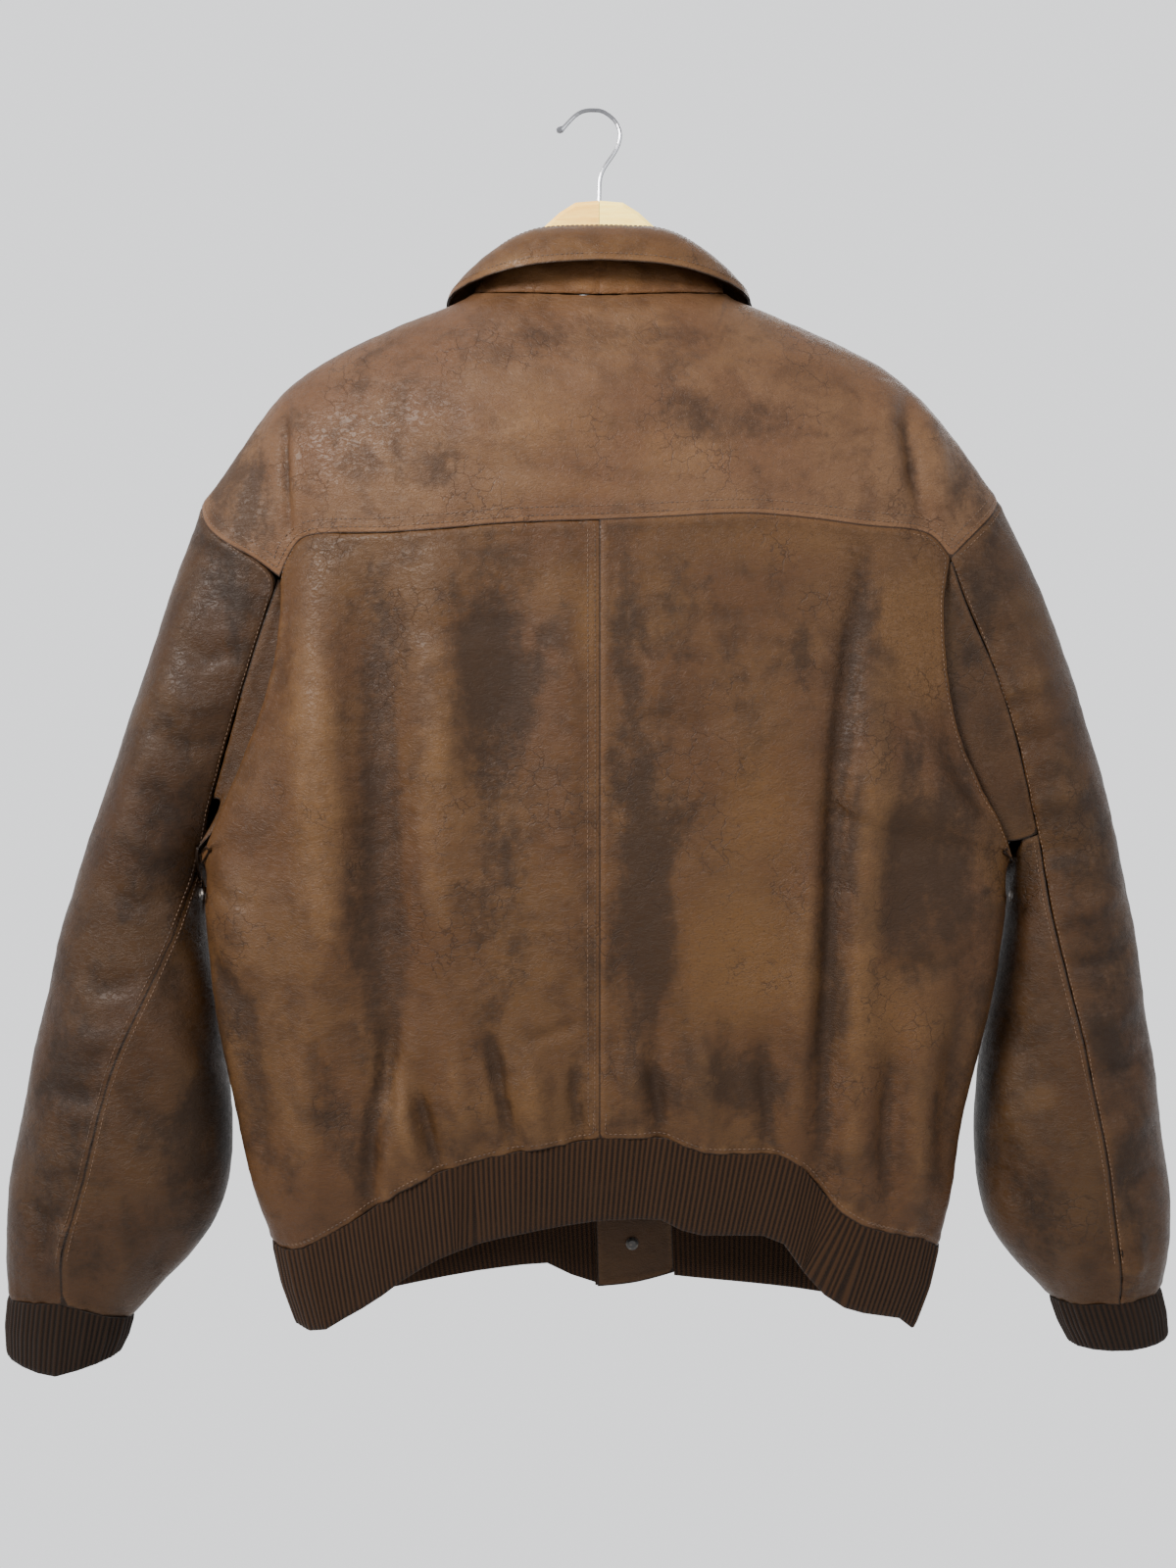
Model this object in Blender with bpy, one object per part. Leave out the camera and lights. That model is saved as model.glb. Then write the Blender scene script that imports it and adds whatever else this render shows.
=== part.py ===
"""A worn leather blouson on a wooden hanger: thin walls of leather and ribbed knit, hung on its arms."""

import math

import bmesh
import bpy
import numpy as np
from mathutils import Vector

# Every size is in millimetres, and down is measured below the underside of the hook
LEATHER = 2.0
KNIT = 2.4
GAP = 0.15
RIB_RAISE = 0.8
HEM_RIB_PITCH = 6.0
CUFF_RIB_PITCH = 4.2
HEM_RIB_HEIGHT = 61.0
ROOF = 120.0
MIDDLE_X = 7.0
PLACKET_WIDTH = 60.0
SNAP_WIDTH = 15.0
EYELET_WIDTH = 10.0
WIRE = 3.2
WOOD_THICK = 14.0

NECK_COLUMNS = 6
SHOULDER_COLUMNS = 12
BACK_COLUMNS = NECK_COLUMNS + SHOULDER_COLUMNS
FRONT_NECK = 5
FRONT_COLUMNS = FRONT_NECK + SHOULDER_COLUMNS // 2
YOKE_ROWS = 8
ARM_ROWS = 7

# The two halves differ, because the jacket hangs askew: places are outward, back or front, down
RIGHT = {
    "name": "right",
    "swing": 9.0,
    "nudge": 0.0,
    "sign": 1,
    "ridge": [(0, 128), (50, 129), (97, 140.5), (115, 148), (164, 169), (201, 187), (231, 206), (254, 229),
              (280, 262), (307, 301)],
    "yoke_seam": [(0, 324), (45, 322), (105, 319), (150, 322), (200, 327), (235, 328), (249, 332),
                  (259, 347)],
    "edge": [(347, 259, -46), (365, 255, -49), (384, 252.5, -51), (442, 256.5, -51), (478, 262, -50),
             (514, 280, -48), (547, 298, -42), (570, 308, -36), (578, 304, 4), (589, 298, 2),
             (605, 300, -1),
             (640, 296, -4), (668, 291, -5), (720, 280, -5), (757, 270, -4), (802, 263, -3), (848, 259, -1),
             (862, 252, 0)],
    "hem": [(0, 774), (45, 772.5), (77, 785), (138, 786), (161, 812), (187, 836), (215, 846), (242, 852),
            (252, 862)],
    "front_hem": [(30, 838), (80, 843), (116, 846), (170, 851), (252, 862)],
    "arm": [(0, 347, 259, 300, 306, 90), (0.2, 383, 271, 338, 326, 95), (0.5, 440, 297, 402, 352, 105),
            (0.75, 492, 312, 458, 371, 112), (1, 551, 327, 522, 390, 125)],
    "sleeve": [(1, 551, 327, 522, 390, 312, 590), (1.07, 580, 331, 556, 398, 313, 596),
               (1.15, 609, 335.5, 590, 405, 309, 618), (1.3, 659, 347, 645, 415.5, 300, 668),
               (1.5, 723, 362, 714, 425, 291, 732), (1.68, 788, 375, 780, 435, 287, 797),
               (1.82, 840, 383.5, 834, 440, 291, 848), (1.93, 882, 389.5, 877, 439.5, 322, 885),
               (2, 905, 391, 900, 432, 348, 910)],
    "cuff": (363, 438, 941, 944, 936),
}
LEFT = {
    "name": "left",
    "swing": 4.0,
    "nudge": 1.2,
    "sign": -1,
    "ridge": [(0, 128), (50, 129), (97, 140.5), (115, 149), (158, 165), (203, 187), (245, 217), (271, 255),
              (298, 297)],
    "yoke_seam": [(0, 324), (64, 326), (115, 330), (160, 332), (203, 331), (219, 333), (228, 338),
                  (236, 361)],
    "edge": [(361, 236, -46), (375, 234, -49), (396, 234, -52), (427, 239, -52), (470, 253, -49),
             (506, 269, -45), (550, 289, -38), (573, 297, -33), (583, 293, 4), (594, 287, 2),
             (608, 290, -1),
             (640, 288, -4), (691, 283, -5), (743, 272, -5), (795, 262, -4), (833, 252, -2), (859, 242, 0)],
    "hem": [(0, 774), (64, 784), (116, 798), (150, 815), (182, 837), (205, 850), (230, 862), (242, 859)],
    "front_hem": [(2, 848), (22, 842), (41, 832), (87, 836), (134, 843), (170, 849), (242, 859)],
    "arm": [(0, 361, 236, 297, 297, 90), (0.2, 388, 246, 335, 317, 100), (0.5, 440, 264, 402, 339, 118),
            (0.75, 500, 283, 470, 363, 135), (1, 556, 301, 530, 384, 148)],
    "sleeve": [(1, 556, 301, 530, 384, 302, 594), (1.07, 583, 305, 562, 396, 303, 600),
               (1.15, 609, 312, 595, 406.5, 300, 622), (1.3, 652, 328, 645, 419.5, 292, 668),
               (1.45, 695, 348, 692, 430, 287, 710), (1.6, 738, 366, 738, 440, 283, 757),
               (1.75, 788, 377, 790, 450, 279, 805), (1.86, 832, 391, 838, 457, 284, 843),
               (1.94, 872, 403, 876, 459, 314, 880), (2, 905, 404, 907, 455, 359, 924)],
    "cuff": (370, 456, 961, 952, 950),
}

# Large folds of the back: outward start and end, down start and end, width, rise, on the side named
FOLDS = {
    "right": [(193, 400, 160, 790, 16, 7), (214, 400, 176, 780, 18, -6), (238, 360, 232, 520, 16, 4),
              (92, 640, 108, 772, 15, -4), (60, 700, 56, 770, 12, 4), (150, 700, 157, 830, 11, -7),
              (196, 730, 200, 850, 12, 4), (40, 380, 60, 620, 30, 3)],
    "left": [(205, 350, 203, 660, 20, 6), (165, 380, 142, 740, 24, -7), (112, 360, 120, 600, 22, 4),
             (170, 780, 146, 620, 14, 5), (116, 800, 132, 700, 12, 5), (64, 782, 76, 700, 12, 4),
             (92, 790, 100, 720, 12, -4), (196, 840, 178, 740, 12, -5), (30, 700, 24, 770, 12, -3)],
}


def through(keys, at):
    """A smooth line through the keys, each a place and its values, read at the places asked for."""
    keys = np.array(keys, float)
    place = keys[:, 0]
    value = keys[:, 1:]
    step = np.diff(place)[:, None]
    slope = np.diff(value, axis=0) / step
    same = slope[1:] * slope[:-1] > 0
    mean = 2 * slope[1:] * slope[:-1] / np.where(same, slope[1:] + slope[:-1], 1)
    tangent = np.vstack([slope[:1], np.where(same, mean, 0), slope[-1:]])
    at = np.clip(np.asarray(at, float), place[0], place[-1])
    i = np.clip(np.searchsorted(place, at, side="right") - 1, 0, len(slope) - 1)
    t = ((at - place[i]) / step[i, 0])[..., None]
    start = (1 + 2 * t) * (1 - t) ** 2 * value[i] + t * (1 - t) ** 2 * step[i] * tangent[i]
    return start + t * t * (3 - 2 * t) * value[i + 1] + t * t * (t - 1) * step[i] * tangent[i + 1]


def unit(v):
    return v / np.maximum(np.linalg.norm(v, axis=-1, keepdims=True), 1e-9)


def spaced(line, parts):
    """Points of a line at the parts of its length."""
    length = np.concatenate([[0], np.cumsum(np.linalg.norm(np.diff(line, axis=0), axis=1))])
    at = np.asarray(parts) * length[-1]
    return np.stack([np.interp(at, length, line[:, k]) for k in range(line.shape[1])], axis=1)


def bezier(a, b, c, d, count=120):
    t = np.linspace(0, 1, count)[:, None]
    return (1 - t) ** 3 * a + 3 * t * (1 - t) ** 2 * b + 3 * t * t * (1 - t) * c + t**3 * d


def ridge(side, x):
    return through(side["ridge"], x)[..., 0]


def roof(side, x, down):
    """How far the cloth stands from the shoulder line's plane, from 0 on the ridge to 1 below it."""
    below = np.clip((down - ridge(side, x)) / ROOF, 0, 1)
    return np.sqrt(1 - (1 - below) ** 2)


def folded(side, x, down):
    """How far the large folds raise the back at a place."""
    total = 0.0 * x
    for x0, d0, x1, d1, width, rise in FOLDS[side["name"]]:
        along = np.array([x1 - x0, d1 - d0], float)
        t = ((x - x0) * along[0] + (down - d0) * along[1]) / (along @ along)
        near = np.clip(t, 0, 1)
        off = np.hypot(x - x0 - near * along[0], down - d0 - near * along[1])
        total = total + rise * np.exp(-((off / width) ** 2)) * (1 - 0.5 * np.clip(1 - t, 0, 1))
    return total


def back_depth(down):
    return through([(320, 78), (500, 79), (620, 77), (700, 73), (775, 66), (865, 60)], down)[..., 0]


def front_depth(down):
    return through([(180, 60), (330, 61), (600, 61), (700, 59), (800, 56), (865, 53)], down)[..., 0]


def placket_edge(down):
    """Where the left front ends and the overlapping strip begins, right of the middle."""
    return -27 + 25 * (down - 190) / 725


def side_rows(side):
    """Down places of the side seam, from the underarm to the hem."""
    edge = side["edge"]
    top = next(e[0] for e in edge if e[2] == 4)
    end = edge[-1][0]
    parts = np.array([0, 0.04, 0.1, 0.22, 0.36, 0.5, 0.63, 0.75, 0.86, 1])
    return top + (end - top) * parts


def edge_at(side, down):
    return through(side["edge"], down)


def back_grid(side):
    edge = side["edge"]
    start = edge[0][0]
    fold_end = next(edge[i - 1][0] for i in range(len(edge)) if edge[i][2] == 4)
    parts = np.array([0, 0.05, 0.14, 0.27, 0.41, 0.55, 0.69, 0.82, 0.92, 1])
    downs = np.concatenate([start + (fold_end - start) * parts, side_rows(side)])
    last = downs[-1]
    columns = np.linspace(0, 1, BACK_COLUMNS + 1)
    rows = []
    for down in downs:
        x, y = edge_at(side, down)
        depth = back_depth(down - 15 + 15 * (down - start) / (last - start) - 40 * (down > 820))
        end = np.array([x, y])
        share = np.clip((down - fold_end + 110) / 110, 0, 1)
        turn = unit((1 - share) * np.array([0.93, 0.37]) + share * np.array([0.6, 0.8]))
        reach = 62 - 17 * share
        full = 0.66 + 0.12 * share
        if down > fold_end + 2:
            turn = np.array([-0.5, 0.86])
            reach = min(78, depth)
            full = 0.76
        handle = end - reach * turn
        handle[0] += np.interp(down - fold_end, [8, 19, 40], [0, 9, 0])
        curve = bezier(np.array([0, -depth]), np.array([full * x, -depth]), handle, end)
        rows.append(spaced(curve, columns))
    grid = np.array(rows)
    v = ((downs - downs[0]) / (last - downs[0]))[:, None]
    top = through(side["yoke_seam"], grid[0, :, 0])[:, 0] - start
    bottom = through(side["hem"], grid[-1, :, 0])[:, 0] - last
    down = downs[:, None] + top * (1 - v) + bottom * v
    x, y = grid[..., 0], grid[..., 1]
    fade = np.clip((1 - columns) / 0.12, 0, 1)
    y = y - folded(side, x, down) * fade
    pull = np.clip((v - 0.93) / 0.07, 0, 1)
    y = y + 7 * pull * fade
    return np.stack([x, y, down], axis=-1)


def yoke_grid(side, seam):
    """From the back seam over the shoulder: the first columns end at the neck, the others in front."""
    neck = np.radians(np.linspace(0, 90, NECK_COLUMNS + 1))
    x_neck = 97 * np.sin(neck)
    d_neck = through([(0, 25), (50, 21.5), (80, 13), (92, 5), (97, 0)], x_neck)[:, 0]
    x_front = np.linspace(97, 291, SHOULDER_COLUMNS + 1)[1:]
    d_front = -through([(97, 0), (125, 10), (150, 15), (200, 19), (291, 24)], x_front)[:, 0]
    x_top = np.concatenate([x_neck, x_front])
    d_top = np.concatenate([d_neck, d_front])
    q_top = np.sign(d_top) * np.arccos(1 - np.abs(d_top) / ROOF)
    x_low, y_low, down_low = seam.T
    d_low = down_low - ridge(side, x_low)
    over = np.maximum(d_low - ROOF, 0) / ROOF
    q_low = np.arccos(np.clip(1 - d_low / ROOF, 0, 1)) + over
    depth = -y_low / np.sin(np.minimum(q_low, math.pi / 2))
    front = through([(97, 60), (150, 58), (200, 54), (250, 46), (291, 38)], x_top)[:, 0]
    v = np.linspace(0, 1, YOKE_ROWS + 1)[:, None]
    q = q_low + (q_top - q_low) * v
    c = np.arange(BACK_COLUMNS + 1) / BACK_COLUMNS
    swell = 26 * c**4 if side["sign"] > 0 else 34 * c**4
    x = x_low + (x_top - x_low) * v + swell * np.sin(math.pi * v)
    turn = np.minimum(np.abs(q), math.pi / 2)
    d = ROOF * (1 - np.cos(turn)) + ROOF * np.maximum(np.abs(q) - math.pi / 2, 0)
    y = np.where(q > 0, -depth * np.sin(turn), front * np.sin(turn))
    grid = np.stack([x, y, ridge(side, x) + d], axis=-1)
    grid[0] = seam
    for c in range(NECK_COLUMNS + 1, BACK_COLUMNS, 2):
        grid[-1, c] = (grid[-1, c - 1] + grid[-1, c + 1]) / 2
    return grid


def ring(cx, cy, hx, hy, angle):
    return np.stack([cx + hx * np.cos(angle), cy + hy * np.sin(angle)], axis=-1)


def sleeve_ring(side, t):
    """Centre, half sizes, seam angle and the three heights of a ring of the sleeve."""
    if t <= 1:
        zs, xs, zo, xo, beta = through(side["arm"], t)
        beta = math.radians(beta)
        cx = (xs - xo * math.cos(beta)) / (1 - math.cos(beta))
        hx = xo - cx
        cy, hy = through([(0, 0, 45), (0.5, 3, 48), (1, 7, 49)], t)
        return cx, cy, hx, hy, beta, zs, zo, zo + 60
    zs, xs, zo, xo, xi, zi = through(side["sleeve"], t)
    cy, hy = through([(1, 7, 49), (1.3, 12, 53), (1.5, 14, 57), (1.7, 15, 58), (1.85, 14, 54),
                      (1.94, 12, 44),
                      (2, 11, 34)], t)
    cx = (xo + xi) / 2
    hx = (xo - xi) / 2
    beta = math.acos(np.clip((xs - cx) / hx, -0.95, 0.95))
    return cx, cy, hx, hy, beta, zs, zo, zi


def ring_points(side, t, angles):
    """Points of a ring at shares of the way round: 0 to 1 is the outer piece, 1 to 2 the under piece."""
    cx, cy, hx, hy, beta, zs, zo, zi = sleeve_ring(side, t)
    points = []
    for share in angles:
        if share <= 1:
            angle = -beta + 2 * beta * share
            w = (1 - math.cos(angle)) / (1 - math.cos(beta))
            down = zo + (zs - zo) * w
        else:
            angle = beta + (2 * math.pi - 2 * beta) * (share - 1)
            w = (math.cos(beta) - math.cos(angle)) / (math.cos(beta) + 1)
            down = zs + (zi - zs) * w
        wave = 2.2 * np.interp(t, [1, 1.2, 1.9, 2], [0, 1, 1, 0]) * math.sin(11 * t * 2 + 3 * angle)
        x, y = ring(cx, cy, hx + wave, hy + wave, angle)
        points.append((x, y, down))
    return np.array(points)


def cap_middle(side, yoke):
    """Where the sleeve cap passes between the yoke's front corner and the front of the armhole."""
    return (yoke[-1, -1] + ring_points(side, 0, [1])[0]) / 2 + np.array([4, 4, -2])


def front_grid(side, yoke):
    """Rows from the neck and shoulder seam to the hem, columns from the placket to the side."""
    armhole = np.array([ring_points(side, t, [1])[0] for t in np.linspace(0, 1, ARM_ROWS + 1)])
    rows_below = side_rows(side)
    xu, yu = edge_at(side, rows_below[0])
    under = np.array([xu, yu, rows_below[0]])
    middle = (armhole[-1] + under) / 2 + np.array([-1, 5, 7])
    seam = [np.array([*edge_at(side, d), d]) for d in rows_below[1:]]
    edge = np.array([yoke[-1, -1], cap_middle(side, yoke), *armhole, middle, under, *seam])
    last = edge[-1, 2]
    parts = np.concatenate([np.linspace(0, 0.37, FRONT_NECK + 1), np.linspace(0.37, 1, 7)[1:]])
    sign = side["sign"]
    start_x = placket_edge(190) * -1 if sign < 0 else placket_edge(190) + PLACKET_WIDTH + 2
    neck_angle = np.linspace(0, 1, FRONT_NECK + 1)[:-1]
    x_neck = start_x + (97 - start_x) * np.sin(neck_angle * math.pi / 2)
    d_neck = through([(0, 62), (30, 59), (60, 43), (80, 26), (92, 11), (97, 0)], x_neck)[:, 0]
    down_neck = ridge(side, x_neck) + d_neck
    y_neck = (60 if sign < 0 else 56.8) * roof(side, x_neck, down_neck)
    top = np.vstack([np.stack([x_neck, y_neck, down_neck], axis=1), yoke[-1, NECK_COLUMNS::2]])
    v = (edge[:, 2] - edge[0, 2]) / (last - edge[0, 2])
    rows = []
    for r in range(len(edge)):
        x, y, down = edge[r]
        centre_down = top[0, 2] + (838 - top[0, 2]) * v[r]
        x0 = placket_edge(centre_down)
        x0 = -x0 if sign < 0 else x0 + PLACKET_WIDTH + 2
        depth = front_depth(centre_down) - (3.2 if sign > 0 else 0)
        lift = max(float(roof(side, x, down)), 0.3)
        end = np.array([x, y / lift])
        share = np.clip((down - armhole[-1][2]) / (under[2] - armhole[-1][2]), 0, 1)
        swell = np.interp(down - under[2], [0, 11, 60, 160], [14, 22, 8, -4])
        lean = (1 - share) * (end + [-58, 15]) + share * np.array([x + swell, 0.96 * depth])
        curve = bezier(np.array([x0, depth]), np.array([x0 + 0.66 * (x - x0), depth]), lean, end)
        rows.append(spaced(curve, parts))
    grid = np.array(rows)
    hem = through(side["front_hem"], grid[-1, :, 0])[:, 0] - last
    v = v[:, None]
    down = edge[:, 2:] + (top[:, 2] - edge[0, 2]) * (1 - v) + hem * v
    lift = roof(side, grid[..., 0], down)
    y = grid[..., 1] * lift
    y = y - 5 * np.clip((v - 0.95) / 0.05, 0, 1) * np.clip((1 - parts) / 0.15, 0, 1)
    grid = np.stack([grid[..., 0], y, down], axis=-1)
    blend = np.array([1, 0.55, 0.2])[:, None, None]
    grid[:3] = grid[:3] + blend * (top - grid[0])
    grid[0] = top
    grid[:, -1] = edge
    return grid


def sleeve_grids(side, cap):
    top_shares = np.linspace(0, 1, len(cap))
    under_shares = np.linspace(2, 1, 9)
    upper = [ring_points(side, t, top_shares) for t in np.linspace(0, 1, ARM_ROWS + 1)]
    upper[0] = cap
    lower_at = np.array([1.06, 1.14, 1.24, 1.34, 1.44, 1.54, 1.64, 1.74, 1.82, 1.89, 1.95, 2])
    lower = [ring_points(side, t, top_shares) for t in lower_at]
    under = [ring_points(side, t, under_shares) for t in lower_at]
    return np.array(upper + lower), np.array(under)


def gusset_grid(side, seam):
    """The pleat under the back panel's free edge, from the sleeve seam to its tucked inner edge."""
    start = seam[0] * 0.86 + seam[1] * 0.14
    outer = np.vstack([start, seam[1:]])
    rows = []
    fold_end = next(e[0] for e, n in zip(side["edge"], side["edge"][1:]) if n[2] == 4)
    corner = edge_at(side, fold_end)
    for i, point in enumerate(outer):
        last = i == len(outer) - 1
        down = point[2] + (6 if last else 0)
        x, y = edge_at(side, down)
        tuck = np.array([x - (7 if last else 11), y + (9 if last else 7), down])
        near = np.array([corner[0] + 2.8, corner[1] + 1, down])
        if not last:
            near = point + (tuck - point) * 0.5 + np.array([0, 1.2, 0])
        rows.append([tuck, near, point])
    return np.array(rows)


def world(side, grid):
    grid = np.asarray(grid, float)
    return np.stack([side["sign"] * grid[..., 0] + MIDDLE_X, grid[..., 1], -grid[..., 2]], axis=-1)


def normals(grid, centre, closed=False):
    """Outward direction at each point of a grid."""
    if closed:
        wide = np.concatenate([grid[:, -1:], grid, grid[:, :1]], axis=1)
        across = np.gradient(wide, axis=1)[:, 1:-1]
    else:
        across = np.gradient(grid, axis=1)
    out = unit(np.cross(np.gradient(grid, axis=0), across))
    facing = np.sum(out * (grid - centre), axis=-1).sum()
    return out if facing > 0 else -out


def piece(name, grid, centre, seams, material, thick=LEATHER, halved=(), closed=False, gap=GAP):
    return {"gap": gap, "name": name, "grid": grid, "out": normals(grid, centre, closed), "seams": seams,
            "thick": thick,
            "material": material, "halved": halved, "closed": closed}


SIDES = {
    "first_row": (np.s_[0, :], np.s_[1, :]),
    "last_row": (np.s_[-1, :], np.s_[-2, :]),
    "first_column": (np.s_[:, 0], np.s_[:, 1]),
    "last_column": (np.s_[:, -1], np.s_[:, -2]),
}


def share_directions(pieces):
    """Pieces that meet in a seam share one direction at each point, so their edges stay parallel."""
    found = {}
    for p in pieces:
        marks = np.zeros(p["grid"].shape[:2], bool)
        for seam in p["seams"]:
            marks[SIDES[seam][0]] = True
        p["marks"] = marks
        for place, out in zip(p["grid"][marks], p["out"][marks]):
            found.setdefault(tuple(np.round(place, 2)), []).append(out)
    for p in pieces:
        own = p["out"].copy()
        for r, c in zip(*np.nonzero(p["marks"])):
            shared = np.mean(found[tuple(np.round(p["grid"][r, c], 2))], axis=0)
            if np.linalg.norm(shared) > 0.2:
                p["out"][r, c] = shared / np.linalg.norm(shared)
        for seam, first, last in p["halved"]:
            line = p["out"][SIDES[seam][0]]
            for i in range(first, last, 2):
                line[i] = unit(line[i - 1] + line[i + 1])
        p["reach"] = 1 / np.clip(np.sum(own * p["out"], axis=-1), 0.45, 1)


def two_faces(p):
    """Outer and inner points of a piece, set back from its seams."""
    grid, out = p["grid"], p["out"]
    shift = np.zeros_like(grid)
    for seam in p["seams"]:
        edge, near = SIDES[seam]
        line = grid[edge]
        if p["closed"]:
            along = np.roll(line, -1, axis=0) - np.roll(line, 1, axis=0)
        else:
            along = np.gradient(line, axis=0)
        inward = unit(np.cross(along, out[edge]))
        facing = np.sum(inward * (grid[near] - line), axis=-1, keepdims=True)
        shift[edge] += p["gap"] * inward * np.sign(facing)
    outer = grid + shift
    inner = outer - p["thick"] * p["reach"][..., None] * out
    return outer, inner


def add_object(name, points, faces, material):
    mesh = bpy.data.meshes.new(name)
    bm = bmesh.new()
    verts = [bm.verts.new(Vector(point) / 1000) for point in points]
    for face in faces:
        bm.faces.new([verts[i] for i in face])
    bmesh.ops.recalc_face_normals(bm, faces=bm.faces)
    if bm.calc_volume(signed=True) < 0:
        bmesh.ops.reverse_faces(bm, faces=bm.faces)
    for face in bm.faces:
        face.smooth = True
    bm.to_mesh(mesh)
    bm.free()
    mesh.set_sharp_from_angle(angle=math.radians(40))
    mesh.materials.append(material)
    obj = bpy.data.objects.new(name, mesh)
    bpy.context.scene.collection.objects.link(obj)
    return obj


def add_wall(p):
    outer, inner = two_faces(p)
    rows, columns = outer.shape[:2]
    points = np.concatenate([outer.reshape(-1, 3), inner.reshape(-1, 3)])
    half = rows * columns
    wrap = columns if p["closed"] else columns - 1
    faces = []
    for r in range(rows - 1):
        for c in range(wrap):
            n = (c + 1) % columns
            quad = [r * columns + c, r * columns + n, (r + 1) * columns + n, (r + 1) * columns + c]
            faces.append(quad)
            faces.append([half + i for i in reversed(quad)])
    rim = []
    for c in range(wrap):
        n = (c + 1) % columns
        rim.append((n, c))
        rim.append(((rows - 1) * columns + c, (rows - 1) * columns + n))
    if not p["closed"]:
        for r in range(rows - 1):
            rim.append((r * columns, (r + 1) * columns))
            rim.append(((r + 1) * columns + columns - 1, r * columns + columns - 1))
    places = p["grid"].reshape(-1, 3)
    for a, b in rim:
        # Both pieces of a seam split the facing cut edges along the same diagonal
        if tuple(np.round(places[a], 2)) > tuple(np.round(places[b], 2)):
            faces += [[a, b, half + b], [a, half + b, half + a]]
        else:
            faces += [[a, b, half + a], [b, half + b, half + a]]
    return add_object(p["name"], points, faces, p["material"])


def add_ribbed(p, pitch):
    """A knit band: upright ribs raised in its outer points over a plain inside."""
    outer, inner = two_faces(p)
    rows, columns = outer.shape[:2]
    wrap = columns if p["closed"] else columns - 1
    fine = [[] for _ in range(rows)]
    firsts = []
    for c in range(wrap):
        n = (c + 1) % columns
        ribs = max(1, round(float(np.linalg.norm(outer[1, n] - outer[1, c])) / pitch))
        firsts.append(len(fine[0]))
        for i in range(2 * ribs):
            t = i / (2 * ribs)
            for r in range(rows):
                point = outer[r, c] * (1 - t) + outer[r, n] * t
                out = unit(p["out"][r, c] * (1 - t) + p["out"][r, n] * t)
                fine[r].append(point + (RIB_RAISE if i % 2 else 0) * out)
    if not p["closed"]:
        firsts.append(len(fine[0]))
        for r in range(rows):
            fine[r].append(outer[r, -1])
    wide = len(fine[0])
    points = np.concatenate([np.array(fine).reshape(-1, 3), inner.reshape(-1, 3)])
    half = rows * wide
    faces = []
    for r in range(rows - 1):
        for c in range(wide if p["closed"] else wide - 1):
            n = (c + 1) % wide
            faces.append([r * wide + c, r * wide + n, (r + 1) * wide + n, (r + 1) * wide + c])
        for c in range(wrap):
            n = (c + 1) % columns
            quad = [r * columns + c, (r + 1) * columns + c, (r + 1) * columns + n, r * columns + n]
            faces.append([half + i for i in quad])
    for r in (0, rows - 1):
        for c in range(wrap):
            n = (c + 1) % columns
            first = firsts[c]
            last = firsts[c + 1] if c + 1 < len(firsts) else wide
            middle = (first + last) // 2
            a = half + r * columns + c
            b = half + r * columns + n
            fan = [[r * wide + i, r * wide + (i + 1) % wide, a if i < middle else b]
                   for i in range(first, last)]
            fan.append([r * wide + middle, b, a])
            faces += fan if r else [list(reversed(f)) for f in fan]
    if not p["closed"]:
        for r in range(rows - 1):
            a, b = half + r * columns, half + (r + 1) * columns
            faces.append([r * wide, (r + 1) * wide, b, a])
            faces.append([(r + 1) * wide - 1, (r + 2) * wide - 1, b + columns - 1, a + columns - 1])
    return add_object(p["name"], points, faces, p["material"])


def paint(name, colour, roughness, metallic=0.0):
    material = bpy.data.materials.new(name)
    material.use_nodes = True
    shader = material.node_tree.nodes["Principled BSDF"]
    shader.inputs["Base Color"].default_value = (*colour, 1)
    shader.inputs["Roughness"].default_value = roughness
    shader.inputs["Metallic"].default_value = metallic
    return material


for obj in list(bpy.data.objects):
    bpy.data.objects.remove(obj)

leather = paint("worn_leather", (0.145, 0.075, 0.038), 0.48)
knit = paint("ribbed_knit", (0.045, 0.024, 0.013), 0.92)
wood = paint("pale_wood", (0.62, 0.43, 0.24), 0.5)
chrome = paint("bright_steel", (0.72, 0.72, 0.72), 0.18, 1.0)
dark_metal = paint("blackened_metal", (0.03, 0.026, 0.022), 0.4, 1.0)

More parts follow.
